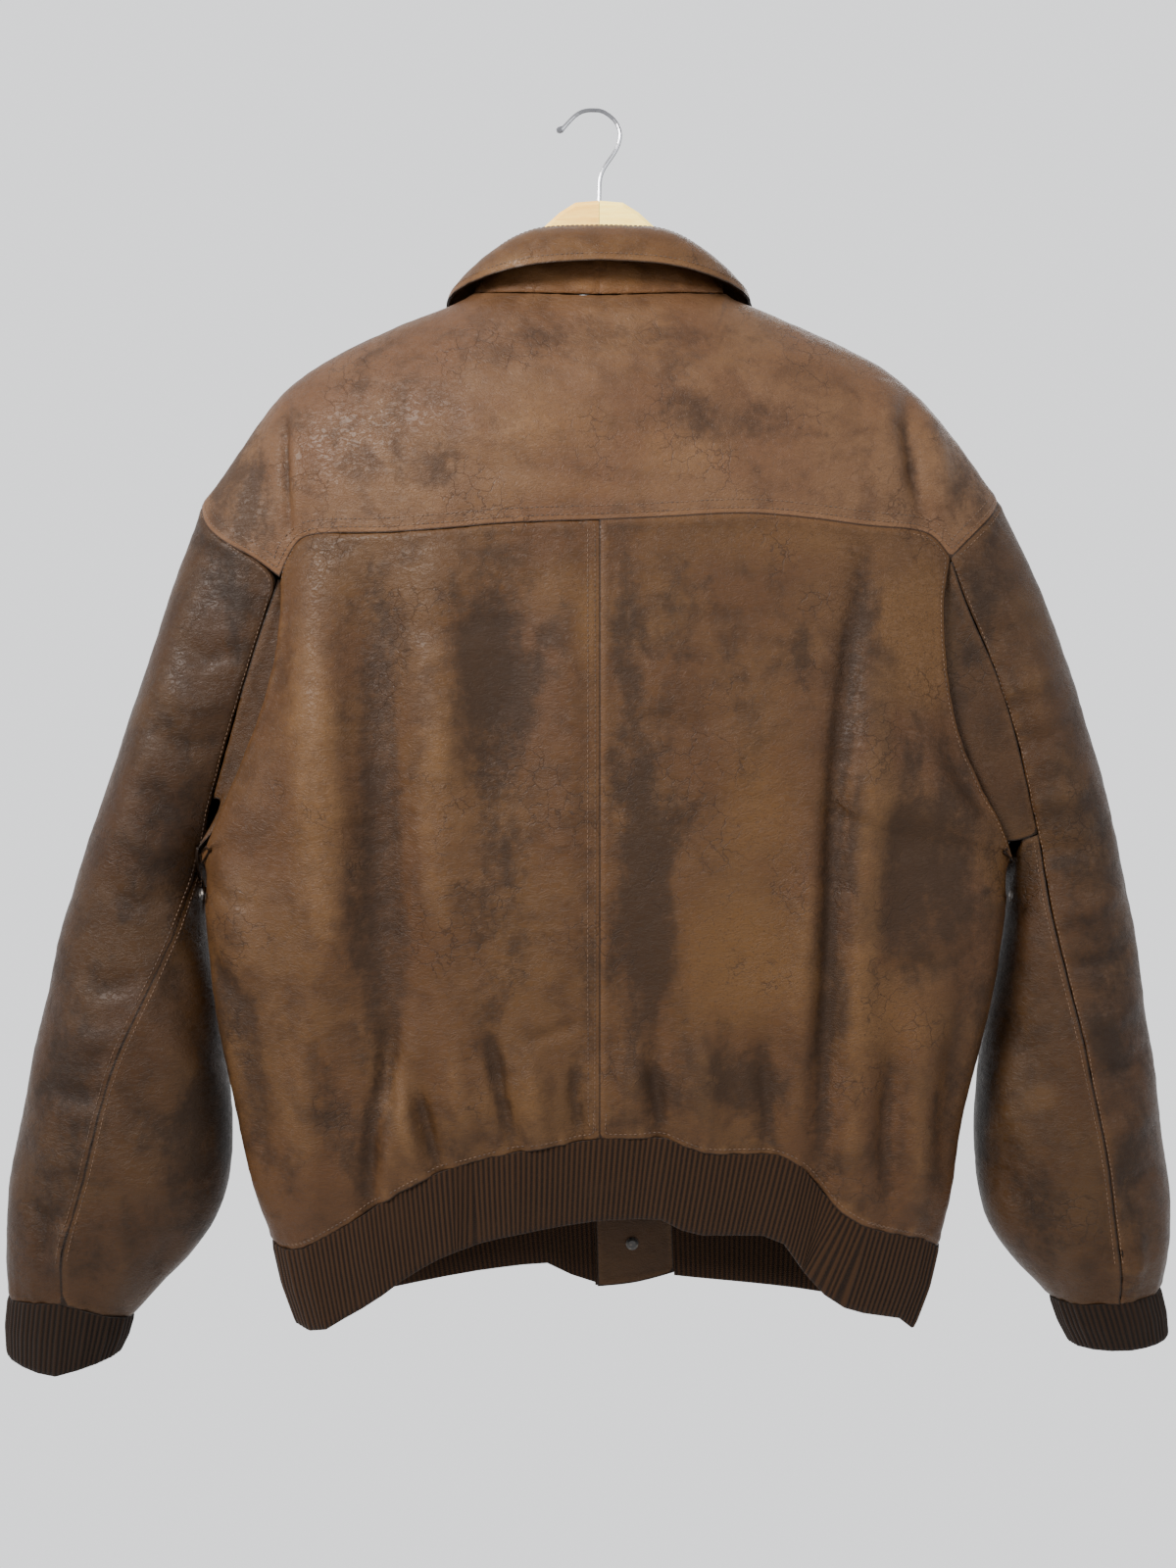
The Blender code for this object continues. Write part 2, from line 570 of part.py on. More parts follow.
pieces = []
built = {}
for side in (RIGHT, LEFT):
    back = back_grid(side)
    if side is LEFT:
        back[:, 0] = built["back_right"][:, 0]
    built["back_" + side["name"]] = back
    yoke = yoke_grid(side, back[0])
    if side is LEFT:
        yoke[:, 0] = built["yoke_right"][:, 0]
    built["yoke_" + side["name"]] = yoke
    front = front_grid(side, yoke)
    built["front_" + side["name"]] = front
    cap = np.vstack([yoke[:, -1], front[1, -1], front[2, -1]])
    sleeve, under = sleeve_grids(side, cap)
    sleeve[: ARM_ROWS + 1, 0][0] = back[0, -1]
    for i in range(1, ARM_ROWS + 1):
        sleeve[i, -1] = front[i + 2, -1]
    gusset = gusset_grid(side, sleeve[: ARM_ROWS + 1, 0])
    lower = sleeve[ARM_ROWS + 1 :]
    under[:, 0] = lower[:, 0]
    under[:, -1] = lower[:, -1]
    bottom = gusset[-1]
    marks = [sleeve[ARM_ROWS, 0], bottom[1], front[11, -1], front[10, -1], front[9, -1]]
    first = [marks[0]]
    for a, b in zip(marks[:-1], marks[1:]):
        first.append((a + b) / 2)
        first.append(b)
    first[3] = first[3] + np.array([side["swing"], 0, -3])
    first[4] = first[4] + np.array([side["nudge"], 0, 0])
    under = np.concatenate([[first], under])
    built["sleeve_" + side["name"]] = sleeve
    built["under_" + side["name"]] = under
    built["gusset_" + side["name"]] = gusset

    body_centre = np.array([MIDDLE_X, 0, 0])
    pieces.append(piece("back_panel_" + side["name"], world(side, back),
                        body_centre * [1, 0, 0] + [0, 30, -600],
                        ["first_row", "last_row", "first_column", "last_column"], leather))
    pieces.append(piece("front_" + side["name"], world(side, front), np.array([MIDDLE_X, -30, -600]),
                        ["first_row", "last_row", "first_column", "last_column"], leather, gap=0.5))
    axis = world(side, np.stack([np.full(len(sleeve), 340.0), np.full(len(sleeve), 8.0), sleeve[:, 5, 2]],
                                axis=1))
    pieces.append(piece("sleeve_top_" + side["name"], world(side, sleeve), axis[:, None],
                        ["first_row", "last_row", "first_column", "last_column"], leather))
    axis = world(side, np.stack([np.full(len(under), 365.0), np.full(len(under), 8.0), under[:, 4, 2]],
                                axis=1))
    pieces.append(piece("sleeve_under_" + side["name"], world(side, under), axis[:, None],
                        ["first_row", "last_row", "first_column", "last_column"], leather,
                        halved=[("first_row", 1, 8)], gap=0.5))
    pieces.append(piece("gusset_" + side["name"], world(side, gusset), np.array([0, 300, -450]),
                        ["last_column", "last_row"], leather, gap=0.6))

yoke = np.concatenate([world(LEFT, built["yoke_left"])[:, :0:-1], world(RIGHT, built["yoke_right"])],
                      axis=1)
half = BACK_COLUMNS
pieces.append(piece("back_yoke", yoke, np.array([MIDDLE_X, 30, -300]),
                    ["first_row", "last_row", "first_column", "last_column"], leather,
                    halved=[("last_row", half + NECK_COLUMNS + 1, 2 * half),
                            ("last_row", 1, half - NECK_COLUMNS)], gap=0.2))

# The knit band at the hem runs from one placket strip round the back to the other
front_l = world(LEFT, built["front_left"])
front_r = world(RIGHT, built["front_right"])
back_l = world(LEFT, built["back_left"])
back_r = world(RIGHT, built["back_right"])
band_top = np.concatenate([front_l[-1], back_l[-1, -2::-1], back_r[-1, 1:], front_r[-1, -2::-1]])


def band_row(share):
    """A row of the hem band: it narrows on its way down, but its ends follow the placket."""
    row = band_top.copy()
    count = FRONT_COLUMNS
    drop = HEM_RIB_HEIGHT * share
    x = (row[:, 0] - MIDDLE_X) * (1 - 0.07 * share)
    y = row[:, 1] * (1 - np.where(row[:, 1] < 0, 0.14, 0.05) * share)
    lean = placket_edge(900) - placket_edge(838)
    near = np.linspace(1, 0, count + 1)
    x[: count + 1] = near * (row[: count + 1, 0] - MIDDLE_X + lean * share) + (1 - near) * x[: count + 1]
    x[-count - 1 :] = ((1 - near[::-1]) * x[-count - 1 :]
                       + near[::-1] * (row[-count - 1 :, 0] - MIDDLE_X + lean * share))
    bulge = 1.5 * math.sin(math.pi * share)
    return np.stack([x + MIDDLE_X + bulge * np.sign(x) * (np.abs(x) > 200), y + bulge * np.sign(y),
                     row[:, 2] - drop],
                    axis=1)


band = np.array([band_top, band_row(0.5), band_row(1)])
pieces.append(piece("hem_rib", band, np.array([MIDDLE_X, 0, -860]),
                    ["first_row", "first_column", "last_column"],
                    knit, KNIT))

# Cuffs
for side in (RIGHT, LEFT):
    upper = world(side, built["sleeve_" + side["name"]])[-1]
    lower = world(side, built["under_" + side["name"]])[-1]
    top = np.concatenate([upper[:-1], lower[:0:-1]])
    x_in, x_out, d_middle, d_in, d_out = side["cuff"]
    x = (top[:, 0] - MIDDLE_X) * side["sign"]
    share = (x - x.min()) / (x.max() - x.min())
    new_x = x_in + (x_out - x_in) * share
    down = np.interp(share, [0, 0.5, 1], [d_in, d_middle, d_out])
    middle_y = top[:, 1].mean()
    y = middle_y + (top[:, 1] - middle_y) * 0.88
    end = np.stack([side["sign"] * new_x + MIDDLE_X, y, -down], axis=1)
    centre = end.mean(axis=0)
    belly = (top + end) / 2
    belly[:, :2] += 1.5 * unit(belly[:, :2] - centre[:2])
    pieces.append(piece("cuff_rib_" + side["name"], np.array([top, belly, end]), centre, ["first_row"],
                        knit, KNIT,
                        closed=True))

# Two leather strips close the front: the left one laps over the right one
left_edge = np.vstack([front_l[:, 0], band[1:, 0]])
right_edge = np.vstack([front_r[:, 0], band[1:, -1]])
left_edge[-1, 2] -= 6
across = np.array([PLACKET_WIDTH, 0, 0])
over = np.stack([left_edge, left_edge + across / 2, left_edge + across], axis=1)
under = np.stack([right_edge - across, right_edge - across / 2, right_edge], axis=1)
over[-1, :, 2] = [-911, -909, -900]
under[-1, :, 2] = [-911, -909, -900]
pieces.append(piece("placket_overlap", over, np.array([30, 0, -500]), ["first_column", "first_row"],
                    leather))
pieces.append(piece("placket_underlap", under, np.array([30, 0, -500]), ["last_column", "first_row"],
                    leather))

# The collar: two halves stand up from the neck seam, and one leaf turns down over them
fold_line = [(0, 0, -35, 99.5), (2, 42, -33, 99.5), (3, 63, -26, 105), (4, 78, -14, 114), (5, 86, -3, 121),
             (6, 89, 8, 129), (7, 86, 22, 139), (8, 78, 36, 149), (9, 66, 47, 158), (10, 52, 54, 166),
             (11, 38, 57.5, 172), (12, 12, 59, 175)]
leaf_edge = [(0, 0, -66, 133), (2, 46, -64, 135), (4, 88, -46, 140), (5, 105, -28, 142),
             (6, 115, -9, 143.5),
             (7, 119, 12, 145.5), (8, 119, 34, 160), (9, 110, 54, 188), (10, 92, 64, 216),
             (11, 73, 67, 238),
             (12, 56, 67, 250)]
folds = {}
leaves = {}
for side in (RIGHT, LEFT):
    yoke_half = world(side, built["yoke_" + side["name"]])[-1, : NECK_COLUMNS + 1]
    front_half = world(side, built["front_" + side["name"]])[0, : FRONT_NECK][::-1]
    strip = (under if side is RIGHT else over)[0, 1]
    neck = np.vstack([yoke_half, front_half, strip])
    at = np.arange(len(neck))
    fold = world(side, through(fold_line, at))
    fold[-1, 0] = strip[0] + (1.2 if side is RIGHT else -1.2)
    low = world(side, through(leaf_edge, at))
    folds[side["name"]] = fold
    leaves[side["name"]] = low
    top = fold
    stand = np.array([neck, (neck + top) / 2 + 2 * unit((neck - [MIDDLE_X, 5, 0]) * [1, 1, 0]), top])
    pieces.append(piece("under_collar_" + side["name"], stand, np.array([MIDDLE_X, 10, -140]),
                        ["first_row", "first_column"], leather))
fold = np.concatenate([folds["left"][:0:-1], folds["right"]])
low = np.concatenate([leaves["left"][:0:-1], leaves["right"]])
away = np.interp(np.abs(np.arange(len(fold)) - len(fold) // 2), [2, 4], [2.4, 3.6])[:, None]
fold = fold + away * unit((fold - [MIDDLE_X, 5, 0]) * [1, 1, 0])
rows = []
for turn in np.radians([0, 30, 60, 90]):
    flat = fold[:, :2] + (low[:, :2] - fold[:, :2]) * math.sin(turn)
    height = fold[:, 2] + (low[:, 2] - fold[:, 2]) * (1 - math.cos(turn))
    rows.append(np.column_stack([flat, height]))
pieces.append(piece("collar_leaf", np.array(rows), np.array([MIDDLE_X, 10, -180]), [], leather))

share_directions(pieces)
parts = {p["name"]: p for p in pieces}
for name in ("left", "right"):
    # The gusset's top corner lies on the sleeve's seam between two of its points
    sleeve, gusset = parts["sleeve_top_" + name], parts["gusset_" + name]
    gusset["out"][0, -1] = unit(0.86 * sleeve["out"][0, 0] + 0.14 * sleeve["out"][1, 0])
    gusset["reach"][0, -1] = 0.86 * sleeve["reach"][0, 0] + 0.14 * sleeve["reach"][1, 0]
for p in pieces:
    if p["name"].startswith("cuff"):
        add_ribbed(p, CUFF_RIB_PITCH)
    elif p["name"] == "hem_rib":
        add_ribbed(p, HEM_RIB_PITCH)
    else:
        add_wall(p)


def turned(name, profile, place, axis, material, bored=False, steps=12):
    """A small round piece: a profile of radius and height spun about its axis, closed or bored."""
    frame = Vector(axis).to_track_quat("Z", "Y").to_matrix()
    points = []
    faces = []
    for radius, height in profile:
        for i in range(steps):
            turn = 2 * math.pi * i / steps
            local = Vector((radius * math.cos(turn), radius * math.sin(turn), height))
            points.append(Vector(place) + frame @ local)
    rings = len(profile)
    for r in range(rings if bored else rings - 1):
        s = (r + 1) % rings
        for i in range(steps):
            n = (i + 1) % steps
            faces.append([r * steps + i, r * steps + n, s * steps + n, s * steps + i])
    if not bored:
        faces.append(list(range(steps))[::-1])
        faces.append([(rings - 1) * steps + i for i in range(steps)])
    return add_object(name, points, faces, material)


SNAP_DOWNS = (246, 372, 498, 624, 750, 878)
for i, down in enumerate(SNAP_DOWNS):
    middle = over[:, 1]
    order = np.argsort(-middle[:, 2])
    x = float(np.interp(down, -middle[order, 2], middle[order, 0]))
    y = float(np.interp(down, -middle[order, 2], middle[order, 1]))
    radius = SNAP_WIDTH / 2
    turned(f"snap_cap_{i + 1}", [(radius, 0), (radius, 1.2), (radius * 0.7, 2.4)], (x, y + 0.7, -down),
           (0, 1, 0),
           dark_metal)
    y = float(np.interp(down, -under[order, 1, 2], under[order, 1, 1])) - LEATHER
    turned(f"snap_back_{i + 1}", [(5.0, 0), (5.0, 0.8), (3.0, 2.0)], (x, y - 0.7, -down), (0, -1, 0),
           dark_metal)

for side in (RIGHT, LEFT):
    grid = world(side, built["back_" + side["name"]])
    p = next(q for q in pieces if q["name"] == "back_panel_" + side["name"])
    row = int(np.argmin(np.abs(grid[:, -3, 2] + 592)))
    spot = grid[row, -3]
    out = p["out"][row, -3]
    radius = EYELET_WIDTH / 2
    turned("eyelet_" + side["name"], [(radius, 0), (radius * 0.85, 1.3), (radius * 0.6, 1.3),
                                      (radius * 0.5, 0)],
           spot + 0.25 * out, out, dark_metal, bored=True)

# The hanger: two wooden arms glued at the middle, with the hook's stem between them
arm_top = [(0.15, 69), (18, 70.5), (30, 78), (42, 89), (55, 107), (70, 126), (85, 141), (97, 148),
           (115, 156),
           (164, 175), (201, 193.5), (222, 207), (234, 219)]
arm_depth = [(0.15, 54), (42, 40), (85, 30), (164, 28), (222, 25), (234, 14)]


def hanger_arm(side):
    xs = np.array([a[0] for a in arm_top])
    tops = np.array([a[1] for a in arm_top])
    depths = through(arm_depth, xs)[:, 0]
    points = []
    faces = []
    half = WOOD_THICK / 2
    for x, top, deep in zip(xs, tops, depths):
        for y, d in ((-half, 4), (-half + 3, 0), (half - 3, 0), (half, 4), (half, deep - 4),
                     (half - 3, deep),
                     (-half + 3, deep), (-half, deep - 4)):
            points.append((side["sign"] * x + MIDDLE_X, y, -(top + d)))
    for r in range(len(xs) - 1):
        for i in range(8):
            n = (i + 1) % 8
            faces.append([r * 8 + i, r * 8 + n, (r + 1) * 8 + n, (r + 1) * 8 + i])
    faces.append(list(range(8)))
    faces.append([(len(xs) - 1) * 8 + i for i in range(8)][::-1])
    return add_object("hanger_arm_" + side["name"], points, faces, wood)


bpy.ops.mesh.primitive_cylinder_add(vertices=12, radius=(WIRE / 2 + 0.4) / 1000, depth=0.04,
                                    location=(MIDDLE_X / 1000, 0, -0.075))
stem_hole = bpy.context.object
stem_hole.name = "stem_hole"
stem_hole.display_type = "WIRE"
stem_hole.hide_render = True
for side in (RIGHT, LEFT):
    arm = hanger_arm(side)
    cut = arm.modifiers.new("hook stem hole", "BOOLEAN")
    cut.operation = "DIFFERENCE"
    cut.object = stem_hole

# The hook: places right of the jacket's middle and down, along the wire's centre
hook_line = [(-32.5, 14.2), (-29, 13.2), (-25, 9.4), (-19, 3.2), (-13, -0.5), (-7, -1.6), (0, -1.4),
             (7.7, 2.3),
             (13.9, 9), (16.2, 17), (14.8, 24.5), (10.8, 32.4), (5.6, 39.8), (1.9, 46.6), (0.3, 54),
             (0, 68),
             (0, 88)]
hook_at = np.concatenate([np.linspace(0, 14, 29), [15, 16]])
hook = through([(i, *p) for i, p in enumerate(hook_line)], hook_at)
radii = np.full(len(hook), WIRE / 2)
radii[:4] = [1.5, 2.6, 2.6, 1.7]
points = []
faces = []
steps = 8
for i, (x, down) in enumerate(hook):
    along = unit(hook[min(i + 1, len(hook) - 1)] - hook[max(i - 1, 0)])
    side_way = np.array([along[1], 0, along[0]])
    for k in range(steps):
        turn = 2 * math.pi * k / steps
        offset = radii[i] * (math.cos(turn) * side_way + math.sin(turn) * np.array([0, 1, 0]))
        points.append(np.array([x + MIDDLE_X, 0, -down]) + offset)
for r in range(len(hook) - 1):
    for k in range(steps):
        n = (k + 1) % steps
        faces.append([r * steps + k, r * steps + n, (r + 1) * steps + n, (r + 1) * steps + k])
faces.append(list(range(steps)))
faces.append([(len(hook) - 1) * steps + k for k in range(steps)])
add_object("hanger_hook", points, faces, chrome)
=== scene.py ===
# %% [markdown]
# # A worn leather jacket on its hanger
# The jacket hangs still, seen from behind. Every leather panel is a wall of its own in the frame,
# so the frame comes in first, and each panel is then dressed as cloth on that same form.

# %% Load the frame
import bpy
import bmesh
import math
import numpy as np
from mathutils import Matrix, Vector
from mathutils.bvhtree import BVHTree
from mathutils.kdtree import KDTree


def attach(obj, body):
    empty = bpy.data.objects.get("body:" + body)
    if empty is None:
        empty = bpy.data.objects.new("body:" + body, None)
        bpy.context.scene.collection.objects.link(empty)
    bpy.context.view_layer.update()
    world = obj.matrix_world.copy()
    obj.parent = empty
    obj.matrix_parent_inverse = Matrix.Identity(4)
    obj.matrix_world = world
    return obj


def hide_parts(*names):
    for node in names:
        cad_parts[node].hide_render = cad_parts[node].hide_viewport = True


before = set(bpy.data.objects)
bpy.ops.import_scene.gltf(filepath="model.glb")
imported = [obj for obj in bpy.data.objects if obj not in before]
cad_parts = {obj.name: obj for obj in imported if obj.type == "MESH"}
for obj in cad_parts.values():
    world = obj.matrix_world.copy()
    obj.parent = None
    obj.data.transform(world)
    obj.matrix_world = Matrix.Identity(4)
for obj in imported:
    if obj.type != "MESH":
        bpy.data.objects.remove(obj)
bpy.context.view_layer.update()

# %% [markdown]
# ## Measures in the photograph's own places
# Folds and stains are placed where they lie on the real back, in millimetres: x to the right of the hook
# and z up from it. One helper turns a fold's place in the photograph into metres, so that the lists of
# folds below can be written as they were read off the jacket.

# %% Helpers for places
MM = 0.001


def spot(px, py):
    """A place on the jacket's back: across and up from the hook, in metres, for a depth of 5 cm."""
    depth = (1.25 - 0.05) / 1.25
    return ((px - 600) * 0.75 * depth - 1.5) * MM, (-514 - (py - 800) * 0.75 * depth) * MM


def only(*objects):
    """Leave nothing selected but these, with the first one active."""
    if bpy.context.mode != "OBJECT":
        bpy.ops.object.mode_set(mode="OBJECT")
    bpy.ops.object.select_all(action="DESELECT")
    for obj in objects:
        obj.select_set(True)
    bpy.context.view_layer.objects.active = objects[0]


def points_of(obj):
    flat = np.empty(len(obj.data.vertices) * 3, np.float32)
    obj.data.vertices.foreach_get("co", flat)
    return flat.reshape(-1, 3).astype(float)


def normals_of(obj):
    flat = np.empty(len(obj.data.vertices) * 3, np.float32)
    obj.data.vertex_normals.foreach_get("vector", flat)
    return flat.reshape(-1, 3).astype(float)


def put_points(obj, points):
    obj.data.vertices.foreach_set("co", np.asarray(points, np.float32).ravel())
    obj.data.update()


# %% [markdown]
# ## The outer skin of each leather panel
# A cut of leather is a sheet with one good side. The frame holds it as a closed wall 2 mm thick, so a
# face of either side has the other side close behind it, and a face of the cut edge has not. The good
# side is grown from one face of it across blunt edges, and only very blunt ones lead over a narrow
# face. Thickening that skin at the end keeps the wall even under every crease.

# %% Take the good side of a panel
BLUNT_TURN = 72
NARROW_TURN = 50
MOST_WALL = 5.2 * MM


def good_side(node, new_name, facing, inner=False, narrow_turn=NARROW_TURN):
    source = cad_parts[node]
    obj = bpy.data.objects.new(new_name, source.data.copy())
    bpy.context.scene.collection.objects.link(obj)
    obj.data.materials.clear()
    only(obj)
    bpy.ops.object.mode_set(mode="EDIT")
    bpy.ops.mesh.select_all(action="SELECT")
    bpy.ops.mesh.remove_doubles(threshold=0.00002)
    bpy.ops.mesh.select_all(action="DESELECT")
    bpy.ops.object.mode_set(mode="OBJECT")
    mesh = bmesh.new()
    mesh.from_mesh(obj.data)
    mesh.faces.ensure_lookup_table()
    tree = BVHTree.FromBMesh(mesh)
    cut_edge = set()
    for face in mesh.faces:
        start = face.calc_center_median()
        hit = tree.ray_cast(start - face.normal * 0.00001, -face.normal, MOST_WALL)
        if hit[0] is None or hit[1].dot(face.normal) > -0.2:
            cut_edge.add(face.index)
    centres = np.array([f.calc_center_median() for f in mesh.faces])
    normals = np.array([f.normal for f in mesh.faces])
    areas = np.array([f.calc_area() for f in mesh.faces])
    way = facing(centres)
    agree = (normals * way).sum(axis=1)
    height = centres[:, 2]
    middle = np.abs(height - height.mean()) < 0.3 * (height.max() - height.min())
    reach = (centres * way).sum(axis=1) * (-1 if inner else 1)
    score = np.where(middle & (agree > 0.75) & (areas > np.median(areas) * 0.8), reach, -9)
    first = int(score.argmax())
    grown = {first}
    todo = [first]
    while todo:
        face = mesh.faces[todo.pop()]
        for edge in face.edges:
            for other in edge.link_faces:
                narrow = face.index in cut_edge or other.index in cut_edge
                most = math.radians(narrow_turn if narrow else BLUNT_TURN)
                if other.index not in grown and edge.calc_face_angle(0) < most:
                    grown.add(other.index)
                    todo.append(other.index)
    kept = areas[list(grown)].sum() / areas.sum()
    bmesh.ops.delete(mesh, geom=[f for f in mesh.faces if f.index not in grown], context="FACES")
    bmesh.ops.holes_fill(mesh, edges=[e for e in mesh.edges if e.is_boundary], sides=12)
    mesh.to_mesh(obj.data)
    mesh.free()
    only(obj)
    bpy.ops.object.mode_set(mode="EDIT")
    bpy.ops.mesh.select_all(action="SELECT")
    bpy.ops.mesh.tris_convert_to_quads(face_threshold=math.radians(60), shape_threshold=math.radians(60))
    bpy.ops.object.mode_set(mode="OBJECT")
    print(f"{new_name}: kept {kept:.3f} of the wall's skin, {len(obj.data.polygons)} faces")
    return obj


def towards(x, y, z):
    return lambda centres: np.tile([float(x), float(y), float(z)], (len(centres), 1))


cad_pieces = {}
for node, way in (
    ("back_yoke", towards(0, -1, 0)),
    ("back_panel_left", towards(0, -1, 0)),
    ("back_panel_right", towards(0, -1, 0)),
    ("front_left", towards(0, 1, 0)),
    ("front_right", towards(0, 1, 0)),
    ("placket_overlap", towards(0, 1, 0)),
    ("placket_underlap", towards(0, 1, 0)),
    ("collar_leaf", towards(0, -1, 0)),
    ("under_collar_left", towards(0, -1, 0)),
    ("under_collar_right", towards(0, -1, 0)),
    ("sleeve_top_left", towards(-1, 0, 0)),
    ("sleeve_top_right", towards(1, 0, 0)),
    ("sleeve_under_left", towards(1, 0, 0)),
    ("sleeve_under_right", towards(-1, 0, 0)),
    ("gusset_left", towards(0, -1, 0)),
    ("gusset_right", towards(0, -1, 0)),
):
    turn = 0 if node == "gusset_left" else NARROW_TURN
    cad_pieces[node] = good_side(node, "leather_" + node, way, narrow_turn=turn)

# %% [markdown]
# ## Finer cloth from the coarse panels
# The frame's panels have a point every few centimetres, which is enough for their fall but not for a
# crease. Subdivision rounds each one between its own points and keeps its cut edges, so neighbours
# still meet. Panels that the light rakes across get one level more than the hidden ones. Smoothing the
# points inside each panel then takes out the frame's own facets, and it is stronger on the back level
# with the underarms, where the frame's rows change direction and would leave a false crease.

# %% Refine the panels
FINE = {"front_left": 2, "front_right": 2, "sleeve_under_left": 2, "sleeve_under_right": 2}
SMOOTHING_TURNS = 14
PIT_TURNS = 90
PIT_REACH = 55 * MM


def smooth(mesh, verts, turns):
    for turn in range(turns):
        bmesh.ops.smooth_vert(mesh, verts=verts, factor=0.5, use_axis_x=True, use_axis_y=True,
                              use_axis_z=True)


for node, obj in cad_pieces.items():
    only(obj)
    rounder = obj.modifiers.new("rounder", "SUBSURF")
    rounder.levels = rounder.render_levels = FINE.get(node, 3)
    rounder.boundary_smooth = "PRESERVE_CORNERS"
    bpy.ops.object.modifier_apply(modifier="rounder")
    if "collar" not in node and "placket" not in node:
        mesh = bmesh.new()
        mesh.from_mesh(obj.data)
        inside = [v for v in mesh.verts if not v.is_boundary]
        smooth(mesh, inside, SMOOTHING_TURNS)
        if node.startswith("back_panel"):
            level = spot(0, 840)[1]
            smooth(mesh, [v for v in inside if abs(v.co.z - level) < PIT_REACH], PIT_TURNS)
        mesh.to_mesh(obj.data)
        mesh.free()
    print(node, len(obj.data.polygons), "faces")

# %% [markdown]
# ## Folds, laid one by one
# Leather this thick hangs in a few long rolls, with short tucks where the knit band gathers it. Each
# fold is a line in the photograph with a width and a rise: plus for a ridge, minus for a trough. Its
# height falls off as a bell across the line and fades at both ends, so no fold has a hard border.

# %% Folds of the back: line in the photograph, width in mm, rise in mm
BACK_FOLDS = [
    ([(318, 565), (325, 700), (335, 850), (338, 1010)], 24, 3.6),
    ([(383, 590), (388, 800), (398, 1000), (396, 1110)], 20, -3.2),
    ([(442, 600), (450, 800), (452, 960)], 20, 2.0),
    ([(520, 590), (515, 720), (500, 860)], 26, -1.8),
    ([(575, 560), (580, 760), (578, 980)], 16, 1.4),
    ([(272, 1215), (262, 1130), (250, 1010)], 14, -2.2),
    ([(318, 1250), (312, 1130), (318, 1030)], 14, 2.2),
    ([(372, 1242), (384, 1150), (402, 1045)], 9, -4.2),
    ([(398, 1232), (392, 1150), (383, 1075)], 9, 2.6),
    ([(424, 1215), (415, 1130), (425, 1040)], 11, 3.0),
    ([(449, 1194), (434, 1140), (418, 1085)], 7, -3.6),
    ([(487, 1186), (470, 1120), (455, 1040)], 12, 2.4),
    ([(526, 1172), (512, 1115), (500, 1050)], 7, -3.2),
    ([(553, 1180), (545, 1120), (540, 1060)], 13, 2.6),
    ([(594, 1168), (586, 1120), (588, 1080)], 6, -2.4),
    ([(642, 1162), (645, 1110), (650, 1060)], 12, 2.0),
    ([(676, 1164), (668, 1110), (664, 1060)], 7, -2.8),
    ([(722, 1172), (716, 1110), (712, 1040)], 14, 2.2),
    ([(786, 1176), (780, 1110), (774, 1050)], 8, -2.6),
    ([(812, 1180), (816, 1060), (824, 930), (832, 800)], 13, 2.2),
    ([(836, 1216), (838, 1100), (842, 950), (848, 800), (864, 660), (880, 570)], 10, -4.4),
    ([(866, 1232), (868, 1100), (876, 930), (890, 760), (905, 600)], 17, 3.4),
    ([(905, 1240), (902, 1160), (908, 1060)], 9, -3.0),
    ([(936, 1256), (934, 1150), (940, 1020)], 15, 2.8),
    ([(965, 1200), (975, 1080), (990, 960)], 12, -2.0),
    ([(931, 397), (925, 440), (934, 500), (944, 532)], 7, -2.6),
    ([(948, 410), (955, 460), (962, 520)], 12, 2.4),
    ([(905, 380), (902, 440), (912, 520)], 14, 1.8),
    ([(288, 412), (291, 440), (293, 480), (295, 520), (296, 552)], 3.5, -2.2),
    ([(302, 420), (305, 470), (307, 535)], 9, 1.6),
    ([(262, 420), (256, 470), (262, 530)], 12, -1.4),
    ([(395, 330), (500, 352), (610, 352), (720, 345), (820, 330)], 22, -1.4),
    ([(420, 432), (520, 455), (612, 452)], 26, 1.6),
    ([(650, 430), (760, 440), (862, 418)], 24, -1.6),
    ([(640, 380), (672, 392), (708, 384)], 6, -1.0),
    ([(725, 395), (744, 404), (766, 402)], 5, -0.8),
    ([(446, 512), (520, 508), (600, 500)], 14, 1.0),
    ([(960, 760), (985, 800), (1012, 830)], 10, -1.8),
    ([(975, 700), (1000, 780), (1030, 850)], 9, 1.6),
    ([(225, 870), (240, 930), (262, 990)], 12, 1.6),
    ([(205, 960), (225, 1000), (255, 1030)], 8, -1.4),
    ([(215, 905), (236, 918), (262, 922)], 6, -1.0),
    ([(530, 1060), (562, 1052), (592, 1040)], 4, -0.9),
    ([(400, 640), (450, 650), (520, 640)], 10, -0.7),
    ([(700, 640), (745, 628), (790, 636)], 6, -0.6),
    ([(640, 735), (700, 742), (765, 730)], 8, -0.7),
    ([(868, 985), (920, 990), (985, 978)], 9, -0.8),
]
